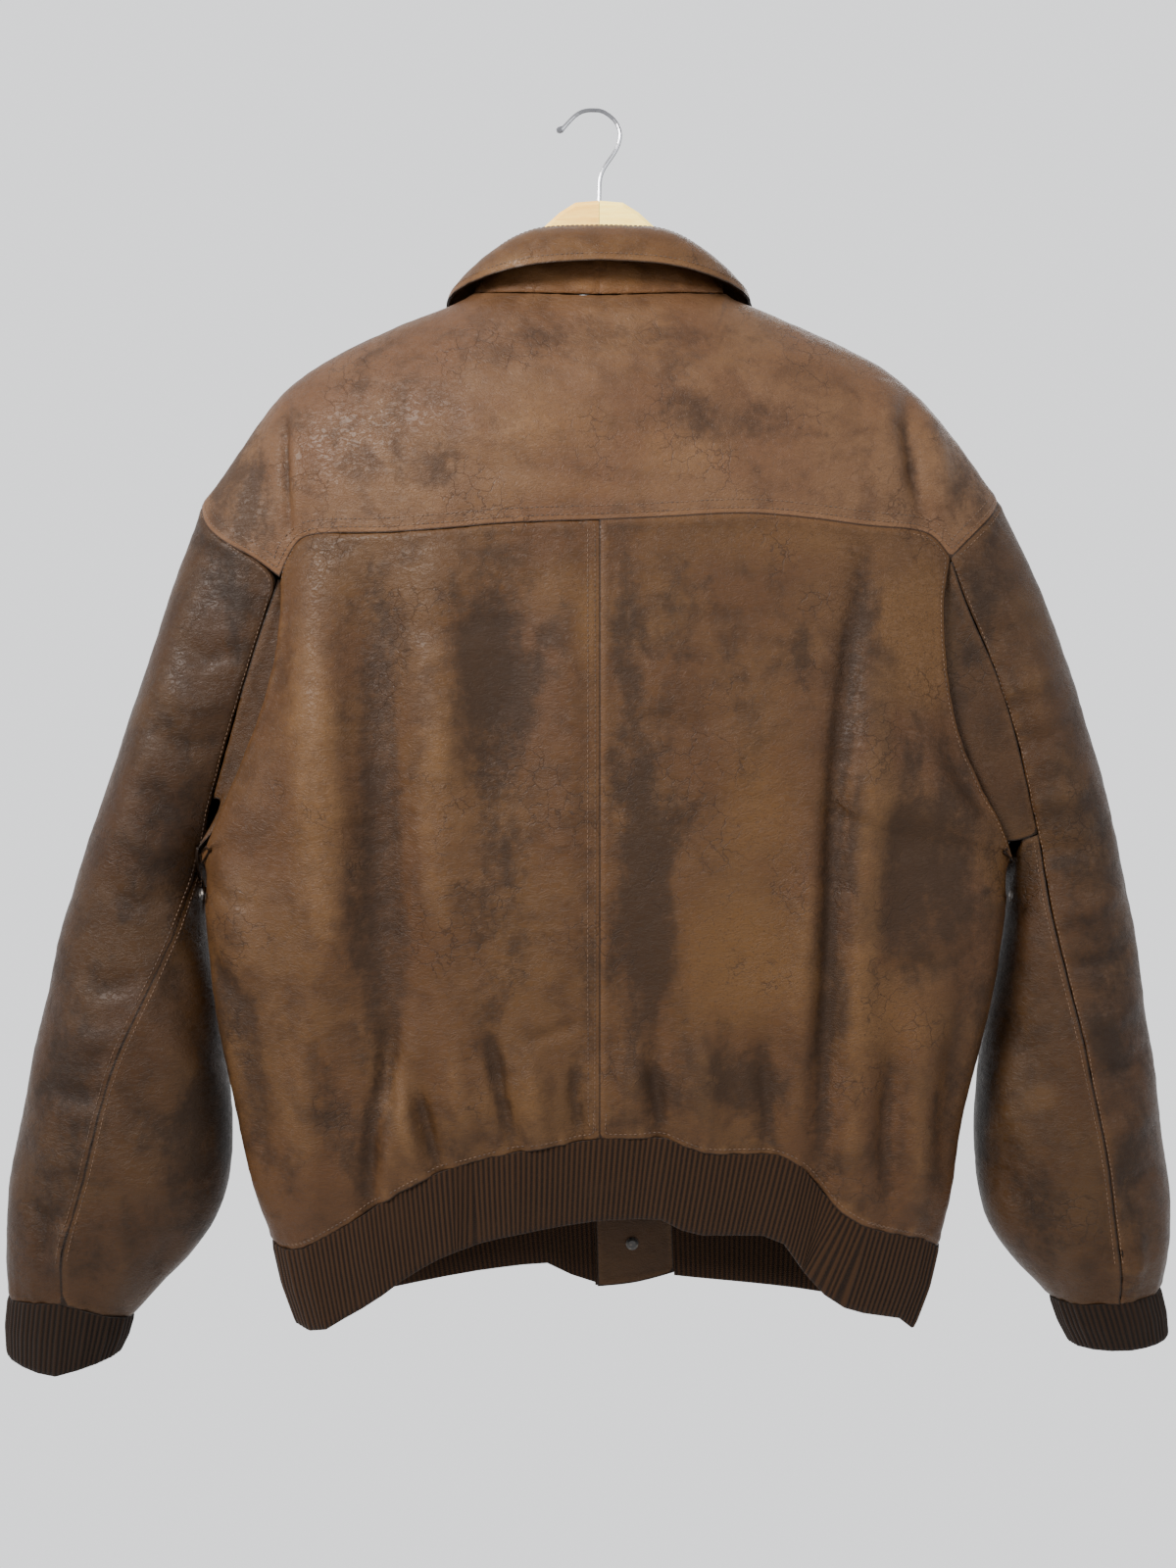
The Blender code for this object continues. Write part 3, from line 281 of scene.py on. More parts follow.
# Cross creases and long rolls of the sleeves, read the same way
SLEEVE_FOLDS = [
    ([(205, 540), (170, 660), (135, 790), (105, 900)], 18, 2.6),
    ([(178, 655), (208, 672), (246, 664)], 8, -2.0),
    ([(160, 700), (196, 722), (236, 716)], 9, 1.6),
    ([(150, 742), (182, 760), (222, 762)], 8, -2.0),
    ([(135, 800), (166, 824), (206, 826)], 9, -1.6),
    ([(118, 845), (150, 868), (182, 868)], 9, 1.8),
    ([(98, 900), (132, 926), (165, 918)], 8, -1.8),
    ([(62, 985), (96, 1010), (140, 1004)], 9, -1.6),
    ([(55, 1040), (80, 1066), (122, 1062)], 10, 1.8),
    ([(30, 1100), (60, 1122), (104, 1120)], 8, -2.0),
    ([(18, 1170), (45, 1190), (88, 1192)], 9, 1.6),
    ([(10, 1230), (38, 1250), (74, 1254)], 8, -2.2),
    ([(30, 1300), (34, 1270), (30, 1236)], 6, -2.0),
    ([(55, 1316), (58, 1284), (52, 1250)], 6, 1.8),
    ([(86, 1326), (84, 1296), (92, 1262)], 6, -2.0),
    ([(112, 1336), (116, 1300), (128, 1262)], 7, 2.0),
    ([(140, 1340), (148, 1306), (166, 1270)], 6, -1.8),
    ([(160, 960), (178, 1020), (204, 1060)], 10, -1.8),
    ([(150, 1040), (176, 1090), (214, 1120)], 11, 2.0),
    ([(120, 1110), (150, 1150), (196, 1166)], 9, -1.8),
    ([(100, 1180), (138, 1216), (186, 1228)], 10, 1.8),
    ([(186, 900), (192, 960), (212, 1010)], 9, -1.6),
    ([(238, 560), (246, 620), (240, 690)], 10, 1.6),
    ([(1000, 545), (1040, 640), (1080, 760), (1105, 880)], 18, 2.4),
    ([(1002, 650), (1040, 640), (1078, 628)], 8, -1.8),
    ([(1018, 706), (1060, 694), (1094, 676)], 8, 1.6),
    ([(1034, 760), (1076, 752), (1110, 730)], 8, -1.8),
    ([(1052, 822), (1096, 812), (1130, 790)], 8, 1.6),
    ([(1070, 872), (1112, 866), (1146, 846)], 8, -2.0),
    ([(1086, 934), (1128, 926), (1160, 908)], 8, 1.8),
    ([(1096, 990), (1138, 982), (1172, 966)], 7, -2.2),
    ([(1106, 1046), (1146, 1040), (1180, 1024)], 8, 1.8),
    ([(1112, 1100), (1152, 1096), (1188, 1080)], 7, -2.2),
    ([(1124, 1160), (1160, 1156), (1192, 1142)], 8, 1.8),
    ([(1136, 1216), (1168, 1212), (1194, 1202)], 7, -2.0),
    ([(1086, 1326), (1082, 1290), (1066, 1256)], 7, -2.0),
    ([(1112, 1330), (1108, 1290), (1100, 1250)], 7, 2.0),
    ([(1140, 1330), (1138, 1296), (1132, 1262)], 6, -1.8),
    ([(1168, 1322), (1172, 1290), (1168, 1256)], 6, 1.8),
    ([(1040, 880), (1056, 940), (1070, 1010)], 12, 2.0),
    ([(1020, 1000), (1050, 1070), (1082, 1120)], 10, -1.8),
    ([(1010, 1100), (1050, 1160), (1096, 1200)], 11, 2.0),
    ([(1016, 1180), (1050, 1230), (1090, 1262)], 9, -1.8),
    ([(975, 590), (990, 660), (1008, 720)], 8, -1.4),
]
# Folds of the front, which the photograph hides: across and down from the hook in millimetres
FRONT_FOLDS = [
    ([(-210, 330), (-225, 480), (-215, 640), (-205, 780)], 26, 3.4),
    ([(-150, 420), (-160, 560), (-150, 700), (-140, 820)], 20, -3.0),
    ([(-95, 380), (-100, 560), (-95, 740)], 22, 2.4),
    ([(-62, 845), (-68, 790), (-75, 730)], 8, -3.0),
    ([(-110, 850), (-112, 790), (-108, 720)], 8, -3.2),
    ([(-168, 852), (-165, 800), (-172, 730)], 9, -3.4),
    ([(-140, 852), (-138, 790), (-142, 740)], 9, 2.8),
    ([(-215, 855), (-222, 800), (-236, 720)], 10, -2.8),
    ([(225, 330), (240, 480), (232, 640), (222, 780)], 26, 3.4),
    ([(165, 420), (172, 560), (166, 700), (158, 820)], 20, -3.0),
    ([(110, 380), (116, 560), (112, 740)], 22, 2.4),
    ([(92, 850), (96, 790), (102, 720)], 8, -3.0),
    ([(135, 855), (138, 790), (134, 730)], 8, -3.2),
    ([(186, 856), (184, 800), (192, 730)], 9, -3.4),
    ([(160, 856), (160, 790), (164, 740)], 9, 2.8),
    ([(236, 855), (242, 800), (256, 720)], 10, -2.8),
    ([(-120, 250), (-180, 290), (-240, 350)], 16, -2.0),
    ([(135, 250), (195, 290), (255, 350)], 16, -2.0),
]
print(len(BACK_FOLDS) + len(SLEEVE_FOLDS) + len(FRONT_FOLDS), "folds in the lists")


# %% How high a fold stands at a point
def fold_height(across, up, line, width, rise):
    """Height of one fold at many places, all in metres: a bell across the line that fades at its ends."""
    line = np.array(line, float)
    lengths = np.concatenate([[0], np.cumsum(np.linalg.norm(np.diff(line, axis=0), axis=1))])
    near = np.full(len(across), 1e9)
    along = np.zeros(len(across))
    for i, (a, b) in enumerate(zip(line[:-1], line[1:])):
        step = b - a
        size = step @ step
        share = ((across - a[0]) * step[0] + (up - a[1]) * step[1]) / size
        held = np.clip(share, 0, 1)
        away = (across - a[0] - held * step[0]) ** 2 + (up - a[1] - held * step[1]) ** 2
        closer = away < near
        near = np.where(closer, away, near)
        along = np.where(closer, lengths[i] + held * math.sqrt(size), along)
    end = np.minimum(along, lengths[-1] - along) / max(lengths[-1] * 0.35, 1e-9)
    fade = 0.25 + 0.75 * np.clip(end, 0, 1) ** 0.7
    return rise * MM * fade * np.exp(-near / (width * MM) ** 2)


def photo_line(line):
    return [spot(*place) for place in line]


def front_line(line):
    return [(x * MM, -down * MM) for x, down in line]

# %% [markdown]
# ## Stains, rubbed places and painted highlights
# Years of wear leave golden places where the finish has gone and pale ones where the light grain shows, and
# the leather also has dark patches. Some pale ovals lie on fold ridges, across the top of the yoke and at
# the collar, and there they paint highlights. They belong to places on this jacket and not to a pattern, so
# each is an oval at its place in the photograph, and the leather's own noise breaks up its border later.

# %% Patches: place in the photograph, half width, half height, strength
DARK_PATCHES = [
    (505, 690, 45, 110, 0.9), (505, 900, 36, 190, 0.5), (380, 640, 60, 90, 0.45), (380, 930, 26, 240, 0.5),
    (345, 470, 50, 60, 0.4), (440, 470, 60, 46, 0.4), (690, 445, 60, 46, 0.35), (845, 470, 46, 50, 0.35),
    (655, 900, 34, 190, 0.95), (640, 700, 20, 190, 0.7), (700, 640, 40, 60, 0.5), (765, 690, 56, 110, 0.35),
    (925, 880, 84, 120, 0.85), (884, 700, 20, 130, 0.7), (725, 1105, 90, 44, 0.8), (842, 1010, 14, 220, 0.7),
    (602, 1000, 14, 200, 0.45), (950, 1140, 40, 100, 0.45), (900, 1190, 60, 44, 0.5),
    (470, 1185, 70, 24, 0.4),
    (300, 460, 22, 80, 0.35), (960, 450, 40, 80, 0.35), (258, 480, 30, 80, 0.35), (1000, 480, 28, 70, 0.35),
    (640, 345, 130, 26, 0.3), (150, 850, 46, 110, 0.4), (60, 1110, 46, 130, 0.45),
    (195, 1180, 44, 100, 0.75),
    (222, 1050, 26, 120, 0.6), (245, 640, 16, 110, 0.55), (105, 1250, 60, 60, 0.35),
    (1000, 640, 46, 76, 0.55),
    (1112, 850, 36, 120, 0.5), (1150, 1040, 46, 100, 0.6), (1128, 960, 36, 60, 0.45),
    (1165, 1200, 36, 90, 0.55),
    (1010, 1110, 26, 120, 0.7), (1034, 980, 26, 90, 0.5), (1062, 1250, 40, 60, 0.45),
    (1150, 740, 20, 90, 0.3),
    (818, 700, 16, 60, 0.5), (1001, 913, 8, 8, 0.9), (570, 820, 40, 46, 0.3), (280, 1220, 26, 40, 0.4),
    (235, 490, 44, 90, 0.85), (1004, 480, 34, 90, 0.6), (400, 400, 50, 60, 0.45), (560, 440, 120, 20, 0.35),
    (350, 1150, 60, 70, 0.5), (610, 1120, 60, 40, 0.4), (780, 1150, 50, 40, 0.45), (930, 740, 26, 60, 0.4),
]
GOLD_PATCHES = [
    (800, 560, 140, 36, 0.6), (560, 605, 56, 50, 0.6), (700, 545, 60, 26, 0.5), (932, 650, 42, 90, 1.0),
    (770, 830, 64, 120, 0.7), (745, 980, 86, 100, 0.9), (905, 1030, 86, 80, 0.7), (596, 640, 24, 90, 0.7),
    (560, 430, 90, 56, 0.6), (690, 475, 80, 44, 0.6), (620, 508, 210, 24, 0.5), (430, 505, 60, 24, 0.5),
    (1100, 700, 30, 50, 0.4), (520, 1115, 50, 36, 0.6), (770, 1060, 60, 60, 0.5), (1014, 890, 22, 60, 0.7),
    (800, 640, 46, 60, 0.4), (470, 585, 80, 30, 0.4), (620, 400, 60, 60, 0.3), (1090, 560, 30, 40, 0.3),
]
# Pale wear, and painted highlights: the tall ovals on the fold ridges of the left back panel, and the wide
# ones across the top of the yoke and at the collar.
PALE_WEAR_AND_HIGHLIGHTS = [
    (452, 830, 30, 200, 0.7), (328, 780, 26, 190, 0.6), (560, 900, 26, 190, 0.35), (640, 325, 150, 30, 0.5),
    (560, 385, 120, 56, 0.5), (770, 385, 90, 50, 0.45), (402, 1090, 24, 60, 0.8), (466, 1080, 22, 70, 0.5),
    (620, 250, 110, 12, 0.4), (930, 600, 30, 50, 0.4), (140, 1000, 28, 100, 0.4), (212, 790, 26, 60, 0.35),
    (1066, 1112, 20, 22, 1.0), (1100, 780, 22, 90, 0.35), (252, 930, 26, 100, 0.5),
    (300, 1100, 36, 90, 0.45),
    (150, 700, 26, 90, 0.3), (90, 1060, 20, 80, 0.3), (600, 285, 110, 12, 0.9), (700, 700, 30, 80, 0.3),
]
# The hidden front gets the same kinds of wear: across and down from the hook in mm
FRONT_PATCHES = [
    (-150, 470, 50, 90, 0.5, 0, 0), (180, 560, 46, 110, 0.6, 0, 0), (-190, 640, 60, 90, 0, 0.7, 0),
    (120, 380, 70, 60, 0, 0.6, 0), (-90, 700, 40, 90, 0, 0, 0.6), (210, 700, 40, 100, 0, 0, 0.5),
    (90, 640, 26, 120, 0.6, 0, 0), (-60, 560, 24, 160, 0.5, 0, 0), (240, 450, 40, 70, 0, 0, 0.4),
    (-230, 420, 40, 80, 0, 0.5, 0), (130, 790, 70, 40, 0.6, 0, 0), (-140, 800, 70, 40, 0.6, 0, 0),
]


def ovals(across, up, patches):
    """How strongly a list of ovals covers each place, 0 to 1."""
    amount = np.zeros(len(across))
    for px, py, wide, high, strength in patches:
        x, z = spot(px, py)
        size = ((across - x) / (wide * 0.72 * MM)) ** 2 + ((up - z) / (high * 0.72 * MM)) ** 2
        amount = np.maximum(amount, strength * np.exp(-size * 0.8))
    return amount


# %% [markdown]
# ## Crumple and puckers
# Between the long folds the skin is never quite flat, and where thread pulls a seam tight the leather
# stands in small waves along it. A slow noise gives the first, and for the second the noise is read at
# the nearest point of the seam, so that the waves run square to it and die away into the panel.

# %% Waves of the skin
from mathutils import noise


def waves(places, size_mm, seed):
    """Smooth noise of about this wavelength at many places, -1 to 1."""
    scale = 1000 / size_mm
    shift = Vector((seed * 3.7, seed * 1.9, seed * 5.3))
    return np.array([noise.noise(Vector(p) * scale + shift) for p in places])


def border_of(obj):
    """Points of the cut edge of a skin."""
    mesh = bmesh.new()
    mesh.from_mesh(obj.data)
    found = [v.co.copy() for v in mesh.verts if v.is_boundary]
    mesh.free()
    return found


def pull_of(node, border):
    """How strongly the thread puckers each point of a border, in mm."""
    z = border[:, 2]
    if node.startswith("sleeve"):
        return np.where(z < -0.86, 1.7, 1.0)
    if node.startswith("under_collar"):
        return np.full(len(z), 0.5)
    if node.startswith(("back_panel", "front")):
        return np.where(z < -0.75, 1.2, 0.45)
    return np.full(len(z), 0.4)


# %% Give every panel its folds, waves, wear and painted fold shading
def dress(node, obj):
    places = points_of(obj)
    out = normals_of(obj)
    x, z = places[:, 0], places[:, 2]
    back = np.clip(-out[:, 1] * 1.6, 0, 1)
    front = np.clip(out[:, 1] * 1.6, 0, 1)
    height = np.zeros(len(places))
    if node.startswith("sleeve"):
        side = 0.35 + 0.65 * np.abs(out[:, 1])
        for line, width, rise in SLEEVE_FOLDS:
            line = photo_line(line)
            height += fold_height(x, z, line, width, rise) * side * (out[:, 1] < 0.25)
            lower = [(a, b - 0.016) for a, b in line]
            height += fold_height(x, z, lower, width * 1.1, rise * 0.9) * side * (out[:, 1] >= 0.25)
    elif node.startswith(("back", "gusset")):
        for line, width, rise in BACK_FOLDS:
            height += fold_height(x, z, photo_line(line), width, rise) * back
    elif node.startswith("front"):
        for line, width, rise in FRONT_FOLDS:
            height += fold_height(x, z, front_line(line), width, rise) * front
    height *= 2.0 if node.startswith("back") else 1.6
    folds = height.copy()

    border = border_of(obj)
    tree = KDTree(len(border))
    for i, place in enumerate(border):
        tree.insert(place, i)
    tree.balance()
    near = [tree.find(Vector(p)) for p in places]
    away = np.array([n[2] for n in near]) / MM
    foot = np.array([n[0] for n in near])
    pull = pull_of(node, foot)
    wave = waves(foot, 9, 1) + 0.5 * waves(foot, 5, 2)
    fade = np.exp(-away / (8 + 5 * pull))
    height += pull * MM * wave * fade
    calm = 1 - np.exp(-away / 25)
    height += 0.7 * MM * waves(places, 46, 3) * calm
    height += 0.42 * MM * waves(places * [1, 1, 1.7], 17, 4) * (0.4 + 0.6 * calm)
    height += 0.22 * MM * waves(places * [1, 1, 1.4], 8, 5)
    if node.startswith("under_collar"):
        height += 1.5 * MM * waves(places * [1, 1, 0.45], 13, 9) * (1 - np.exp(-away / 6))
    height -= 0.5 * MM * np.exp(-(away / 1.4) ** 2)
    height += 0.5 * MM * np.exp(-((away - 5) / 3.2) ** 2)
    put_points(obj, places + out * height[:, None])

    # Colour from relief: ridges of the folds and small waves are marked for a lighter colour and troughs for
    # a darker one. This is partly rubbed wear and grime, and partly painted highlight on the ridges and
    # painted shade in the troughs.
    small = height - folds
    rub_and_highlight = np.clip(folds / (6 * MM), 0, 1) * 0.55 + np.clip(small / (1.1 * MM), 0, 1) * 0.5
    grime_and_shade = np.clip(-folds / (4 * MM), 0, 1) * 0.6 + np.clip(-small / (1.1 * MM), 0, 1) * 0.6
    wear_and_shading = np.stack([rub_and_highlight, grime_and_shade, np.exp(-away / 5), np.ones(len(rub_and_highlight))], axis=1)
    if node.startswith("front") or node.startswith("placket"):
        across, down_to = x / MM, -z / MM
        stain_and_highlight = np.zeros((len(rub_and_highlight), 3))
        for ax, down, wide, high, *amounts in FRONT_PATCHES:
            size = ((across - ax) / wide) ** 2 + ((down_to - down) / high) ** 2
            stain_and_highlight = np.maximum(stain_and_highlight, np.array(amounts) * np.exp(-size * 0.8)[:, None])
    else:
        px = x + 13 * MM * waves(places, 52, 7)
        pz = z + 16 * MM * waves(places, 52, 8)
        kinds = (DARK_PATCHES, GOLD_PATCHES, PALE_WEAR_AND_HIGHLIGHTS)
        stain_and_highlight = np.stack([ovals(px, pz, kind) for kind in kinds], axis=1)
    stain_and_highlight = np.concatenate([stain_and_highlight, np.ones((len(rub_and_highlight), 1))], axis=1)
    for name, values in (("wear_and_shading", wear_and_shading), ("stain_and_highlight", stain_and_highlight)):
        layer = obj.data.attributes.new(name, "FLOAT_COLOR", "POINT")
        layer.data.foreach_set("color", values.astype(np.float32).ravel())


for node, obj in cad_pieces.items():
    dress(node, obj)

# %% [markdown]
# ## Thickness
# The finished skins get their 2 mm of hide on the inside, where the frame has it too. Before that, each cut
# edge is drawn out a little in its own plane, because the puckers open the narrow seams of the frame and
# light would show through.

LEATHER = 0.002


def thicken(obj, thick):
    only(obj)
    wall = obj.modifiers.new("wall", "SOLIDIFY")
    wall.thickness = thick
    wall.offset = -1
    wall.use_even_offset = False
    bpy.ops.object.modifier_apply(modifier="wall")
    bpy.ops.object.shade_smooth_by_angle(angle=math.radians(55))


def close_seam(obj, reach):
    """Draw a skin's edge out a little in its own plane, so that no light shows through the seam."""
    mesh = bmesh.new()
    mesh.from_mesh(obj.data)
    moves = {}
    for vert in mesh.verts:
        if vert.is_boundary:
            away = sum((vert.co - face.calc_center_median() for face in vert.link_faces), Vector())
            ends = [edge.other_vert(vert).co for edge in vert.link_edges if edge.is_boundary]
            along = (ends[0] - ends[-1]).normalized()
            away -= along * away.dot(along) + vert.normal * away.dot(vert.normal)
            moves[vert] = away.normalized() * reach
    for vert, move in moves.items():
        vert.co += move
    mesh.to_mesh(obj.data)
    mesh.free()


def seam_of(obj):
    """The cut edge of a skin as ordered points, with the way into the leather and out of it at each."""
    mesh = bmesh.new()
    mesh.from_mesh(obj.data)
    start = next(e for e in mesh.edges if e.is_boundary)
    at, ring = start.verts[0], []
    edge = start
    while not ring or at is not start.verts[0]:
        ring.append(at)
        edge = next(e for e in at.link_edges if e.is_boundary and e is not edge) if len(ring) > 1 else start
        at = edge.other_vert(at)
    places = np.array([v.co for v in ring])
    inward = np.array([sum((f.calc_center_median() - v.co for f in v.link_faces), Vector()) for v in ring])
    out = np.array([v.normal for v in ring])
    mesh.free()
    return places, inward, out


REACHES = {"under_collar": 2.0, "front": 1.3}
skins = {}
seam_lines = {}
for node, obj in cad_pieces.items():
    seam_lines[node] = seam_of(obj)
    reach = next((mm for start, mm in REACHES.items() if node.startswith(start)), 0.55)
    close_seam(obj, reach * MM)
    mesh = bmesh.new()
    mesh.from_mesh(obj.data)
    bmesh.ops.triangulate(mesh, faces=mesh.faces)
    skins[node] = BVHTree.FromBMesh(mesh)
    mesh.free()
    thicken(obj, LEATHER)
    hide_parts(node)
    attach(obj, "root")

# %% [markdown]
# ## Ribbed bands
# The cuffs and the hem are knitted in ribs a little under 4 mm wide, which is what lets them grip. Each
# band is laid out as a grid between its two edges: five columns to a rib, so that every rib has the
# same round top, and rows that follow the frame's inner face. The bottom edge is a fold of the knit,
# so the grid turns round it and comes back up inside.

# %% Knit the bands
KNIT = 0.0024
RIB_PITCH = 0.0039
COLUMNS_PER_RIB = 5


def border_loops(obj):
    """The closed loops of a skin's cut edge, each as an ordered array of points."""
    mesh = bmesh.new()
    mesh.from_mesh(obj.data)
    left = {e for e in mesh.edges if e.is_boundary}
    loops = []
    while left:
        edge = left.pop()
        start, at = edge.verts
        loop = [start.co.copy(), at.co.copy()]
        while at is not start:
            edge = next(e for e in at.link_edges if e in left)
            left.discard(edge)
            at = edge.other_vert(at)
            if at is not start:
                loop.append(at.co.copy())
        loops.append(np.array(loop))
    mesh.free()
    return loops


def runs_of(loop, corner=50):
    """A loop cut at its sharp corners into runs of points."""
    before = loop - np.roll(loop, 1, axis=0)
    after = np.roll(loop, -1, axis=0) - loop
    cosine = (before * after).sum(axis=1) / np.linalg.norm(before, axis=1) / np.linalg.norm(after, axis=1)
    corners = np.nonzero(cosine < math.cos(math.radians(corner)))[0]
    runs = []
    for first, last in zip(corners, np.roll(corners, -1)):
        last = last if last > first else last + len(loop)
        runs.append(loop[np.arange(first, last + 1) % len(loop)])
    return runs


def length_of(line):
    return np.linalg.norm(np.diff(line, axis=0), axis=1).sum()


def resampled(line, count):
    walked = np.concatenate([[0], np.cumsum(np.linalg.norm(np.diff(line, axis=0), axis=1))])
    at = np.linspace(0, walked[-1], count)
    return np.stack([np.interp(at, walked, line[:, k]) for k in range(3)], axis=1)


def between_ends(loop):
    """The top and bottom edge of an open band: its loop less the two steep ends."""
    runs = runs_of(loop)
    steep = [abs(run[-1][2] - run[0][2]) > 0.8 * length_of(run) for run in runs]
    first = steep.index(True)
    halves = []
    for run, end in zip(runs[first:] + runs[:first], steep[first:] + steep[:first]):
        if end:
            halves.append([])
        else:
            halves[-1].append(run)
    return [np.vstack([half[0]] + [run[1:] for run in half[1:]]) for half in halves]


def turned(line):
    """How far round the band each point of an edge stands, as an angle seen from above."""
    middle = (line.max(axis=0) + line.min(axis=0)) / 2
    half = (line.max(axis=0) - line.min(axis=0)) / 2
    return np.unwrap(np.arctan2((line[:, 1] - middle[1]) / half[1], (line[:, 0] - middle[0]) / half[0]))


def started(line, closed):
    """An edge running the way of growing angle, and a closed one from the band's right side."""
    if turned(line)[-1] < turned(line)[0]:
        line = line[::-1]
    if closed:
        turns = turned(line)
        first = int(np.argmin(np.abs((turns[:-1] + math.pi) % (2 * math.pi) - math.pi)))
        line = np.roll(line[:-1], -first, axis=0)
        line = np.vstack([line, line[:1]])
    return line


def knit_band(node, closed, rows=16, rise=0.0009):
    skin = good_side(node, "lay_out_" + node, towards(0, 1, 0), inner=True)
    loops = border_loops(skin)
    if closed:
        loops = sorted(loops, key=lambda loop: -loop[:, 2].mean())
        top, bottom = [np.vstack([loop, loop[:1]]) for loop in loops]
    else:
        top, bottom = sorted(between_ends(loops[0]), key=lambda edge: -edge[:, 2].mean())
    top, bottom = started(top, closed), started(bottom, closed)
    ribs = round((length_of(top) + length_of(bottom)) / 2 / RIB_PITCH)
    columns = ribs * COLUMNS_PER_RIB + (0 if closed else 1)
    top = resampled(top, columns + (1 if closed else 0))
    turns, low_turns = turned(top), turned(bottom)
    if not closed:
        low_turns = np.interp(low_turns, [low_turns[0], low_turns[-1]], [turns[0], turns[-1]])
    bottom = np.stack([np.interp(turns, low_turns, bottom[:, k]) for k in range(3)], axis=1)
    top, bottom = top[:columns], bottom[:columns]
    mesh = bmesh.new()
    mesh.from_mesh(skin.data)
    bmesh.ops.triangulate(mesh, faces=mesh.faces)
    form = BVHTree.FromBMesh(mesh)
    mesh.free()
    shares = np.linspace(0, 1, rows)
    flat = top[None] * (1 - shares[:, None, None]) + bottom[None] * shares[:, None, None]
    inner = np.array([[form.find_nearest(Vector(p))[0] for p in row] for row in flat])
    index = np.arange(columns)
    ahead, behind = index + 4, index - 4
    if closed:
        around = inner[:, ahead % columns] - inner[:, behind % columns]
    else:
        around = inner[:, ahead.clip(0, columns - 1)] - inner[:, behind.clip(0, columns - 1)]
    out = np.cross(around, np.broadcast_to(bottom - top, around.shape))
    out /= np.linalg.norm(out, axis=2, keepdims=True)
    centre = inner.mean(axis=(0, 1))
    if ((inner - centre) * out)[..., :2].sum() < 0:
        out = -out
    count = np.arange(columns) / COLUMNS_PER_RIB
    rib = (0.5 + 0.5 * np.cos(2 * math.pi * count)).clip(0, 1) ** 0.8
    ease = np.interp(shares, [0, 0.06, 0.93, 1], [0.35, 1, 1, 0.45])
    lift = KNIT - rise * 0.3 + rise * rib[None] * ease[:, None]
    slow = np.array([noise.noise(Vector((c / 55, node.count("left"), 4))) for c in count * 3.9])
    lift = lift + 0.0010 * slow[None] * np.sin(shares * math.pi)[:, None]
    outer = inner + out * lift[..., None]
    drop = bottom - top
    drop /= np.linalg.norm(drop, axis=1, keepdims=True)
    fold = (outer[-1] + inner[-1]) / 2 + drop * 0.0011
    grid = np.concatenate([outer, fold[None], inner[::-3]])
    rings, columns = grid.shape[:2]
    faces = []
    for r in range(rings):
        s = (r + 1) % rings
        for c in range(columns if closed else columns - 1):
            n = (c + 1) % columns
            faces.append((r * columns + c, s * columns + c, s * columns + n, r * columns + n))
    if not closed:
        faces.append([r * columns for r in range(rings)][::-1])
        faces.append([r * columns + columns - 1 for r in range(rings)])
    data = bpy.data.meshes.new("knit_" + node)
    data.from_pydata(grid.reshape(-1, 3).tolist(), [], faces)
    band = bpy.data.objects.new("knit_" + node, data)
    bpy.context.scene.collection.objects.link(band)
    rise_by_row = np.concatenate([shares, [1.02], shares[::-3]])
    down = np.outer(rise_by_row, np.ones(columns)) * np.linalg.norm(bottom - top, axis=1)[None]
    laid = np.stack([np.tile(count, (rings, 1)), down * 1000, np.zeros((rings, columns))], axis=2)
    layer = data.attributes.new("laid", "FLOAT_VECTOR", "POINT")
    layer.data.foreach_set("vector", laid.astype(np.float32).ravel())
    bpy.data.objects.remove(skin)
    only(band)
    bpy.ops.object.mode_set(mode="EDIT")
    bpy.ops.mesh.select_all(action="SELECT")
    bpy.ops.mesh.normals_make_consistent(inside=False)
    bpy.ops.object.mode_set(mode="OBJECT")
    bpy.ops.object.shade_smooth_by_angle(angle=math.radians(70))
    high = float(np.linalg.norm(bottom - top, axis=1).mean())
    wide = ribs * RIB_PITCH
    print(f"{node}: {ribs} ribs, {wide:.3f} m round and {high:.3f} m high, {len(data.polygons)} faces")
    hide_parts(node)
    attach(band, "root")
    return band, wide, high


knits = []
for node, closed in (("hem_rib", False), ("cuff_rib_left", True), ("cuff_rib_right", True)):
    band, wide, high = knit_band(node, closed)
    knits.append(band)

# %% [markdown]
# ## Stitches
# The seams of the jacket are topstitched with a thick brown thread, about seven stitches to the inch.
# One stitch is a ball drawn long, and an array lays it along a guide that runs a set distance inside
# the cut edge, half sunk in the leather. The thread has darkened with the hide, so the rows are quiet.

# %% Topstitch the seams
STITCH_PITCH = 3.6 * MM
THREAD = 0.62 * MM


def seam_rows(node, inset, keep):
    """The stretches of a panel's edge that pass the test, moved into the leather by this much."""
    places, inward, out = seam_lines[node]
    along = np.roll(places, -1, axis=0) - np.roll(places, 1, axis=0)
    along /= np.linalg.norm(along, axis=1, keepdims=True)
    inward = inward - along * (inward * along).sum(axis=1, keepdims=True)
    for turn in range(6):
        inward = (inward + np.roll(inward, 1, axis=0) + np.roll(inward, -1, axis=0)) / 3
    inward /= np.linalg.norm(inward, axis=1, keepdims=True) + 1e-9
    kept = np.array([keep(p, n) for p, n in zip(places, out)])
    shift = int(np.argmin(kept)) if not kept.all() else 0
    order = np.roll(np.arange(len(places)), -shift)
    rows, row = [], []
    for i in list(order) + [None]:
        if i is not None and kept[i]:
            goal = Vector(places[i] + inward[i] * inset)
            foot, up, face, far = skins[node].find_nearest(goal)
            row.append(np.array(foot + up * THREAD * 0.28))
        elif row:
            rows.append(np.array(row))
            row = []
    return [row for row in rows if len(row) > 3 and length_of(row) > 0.02]


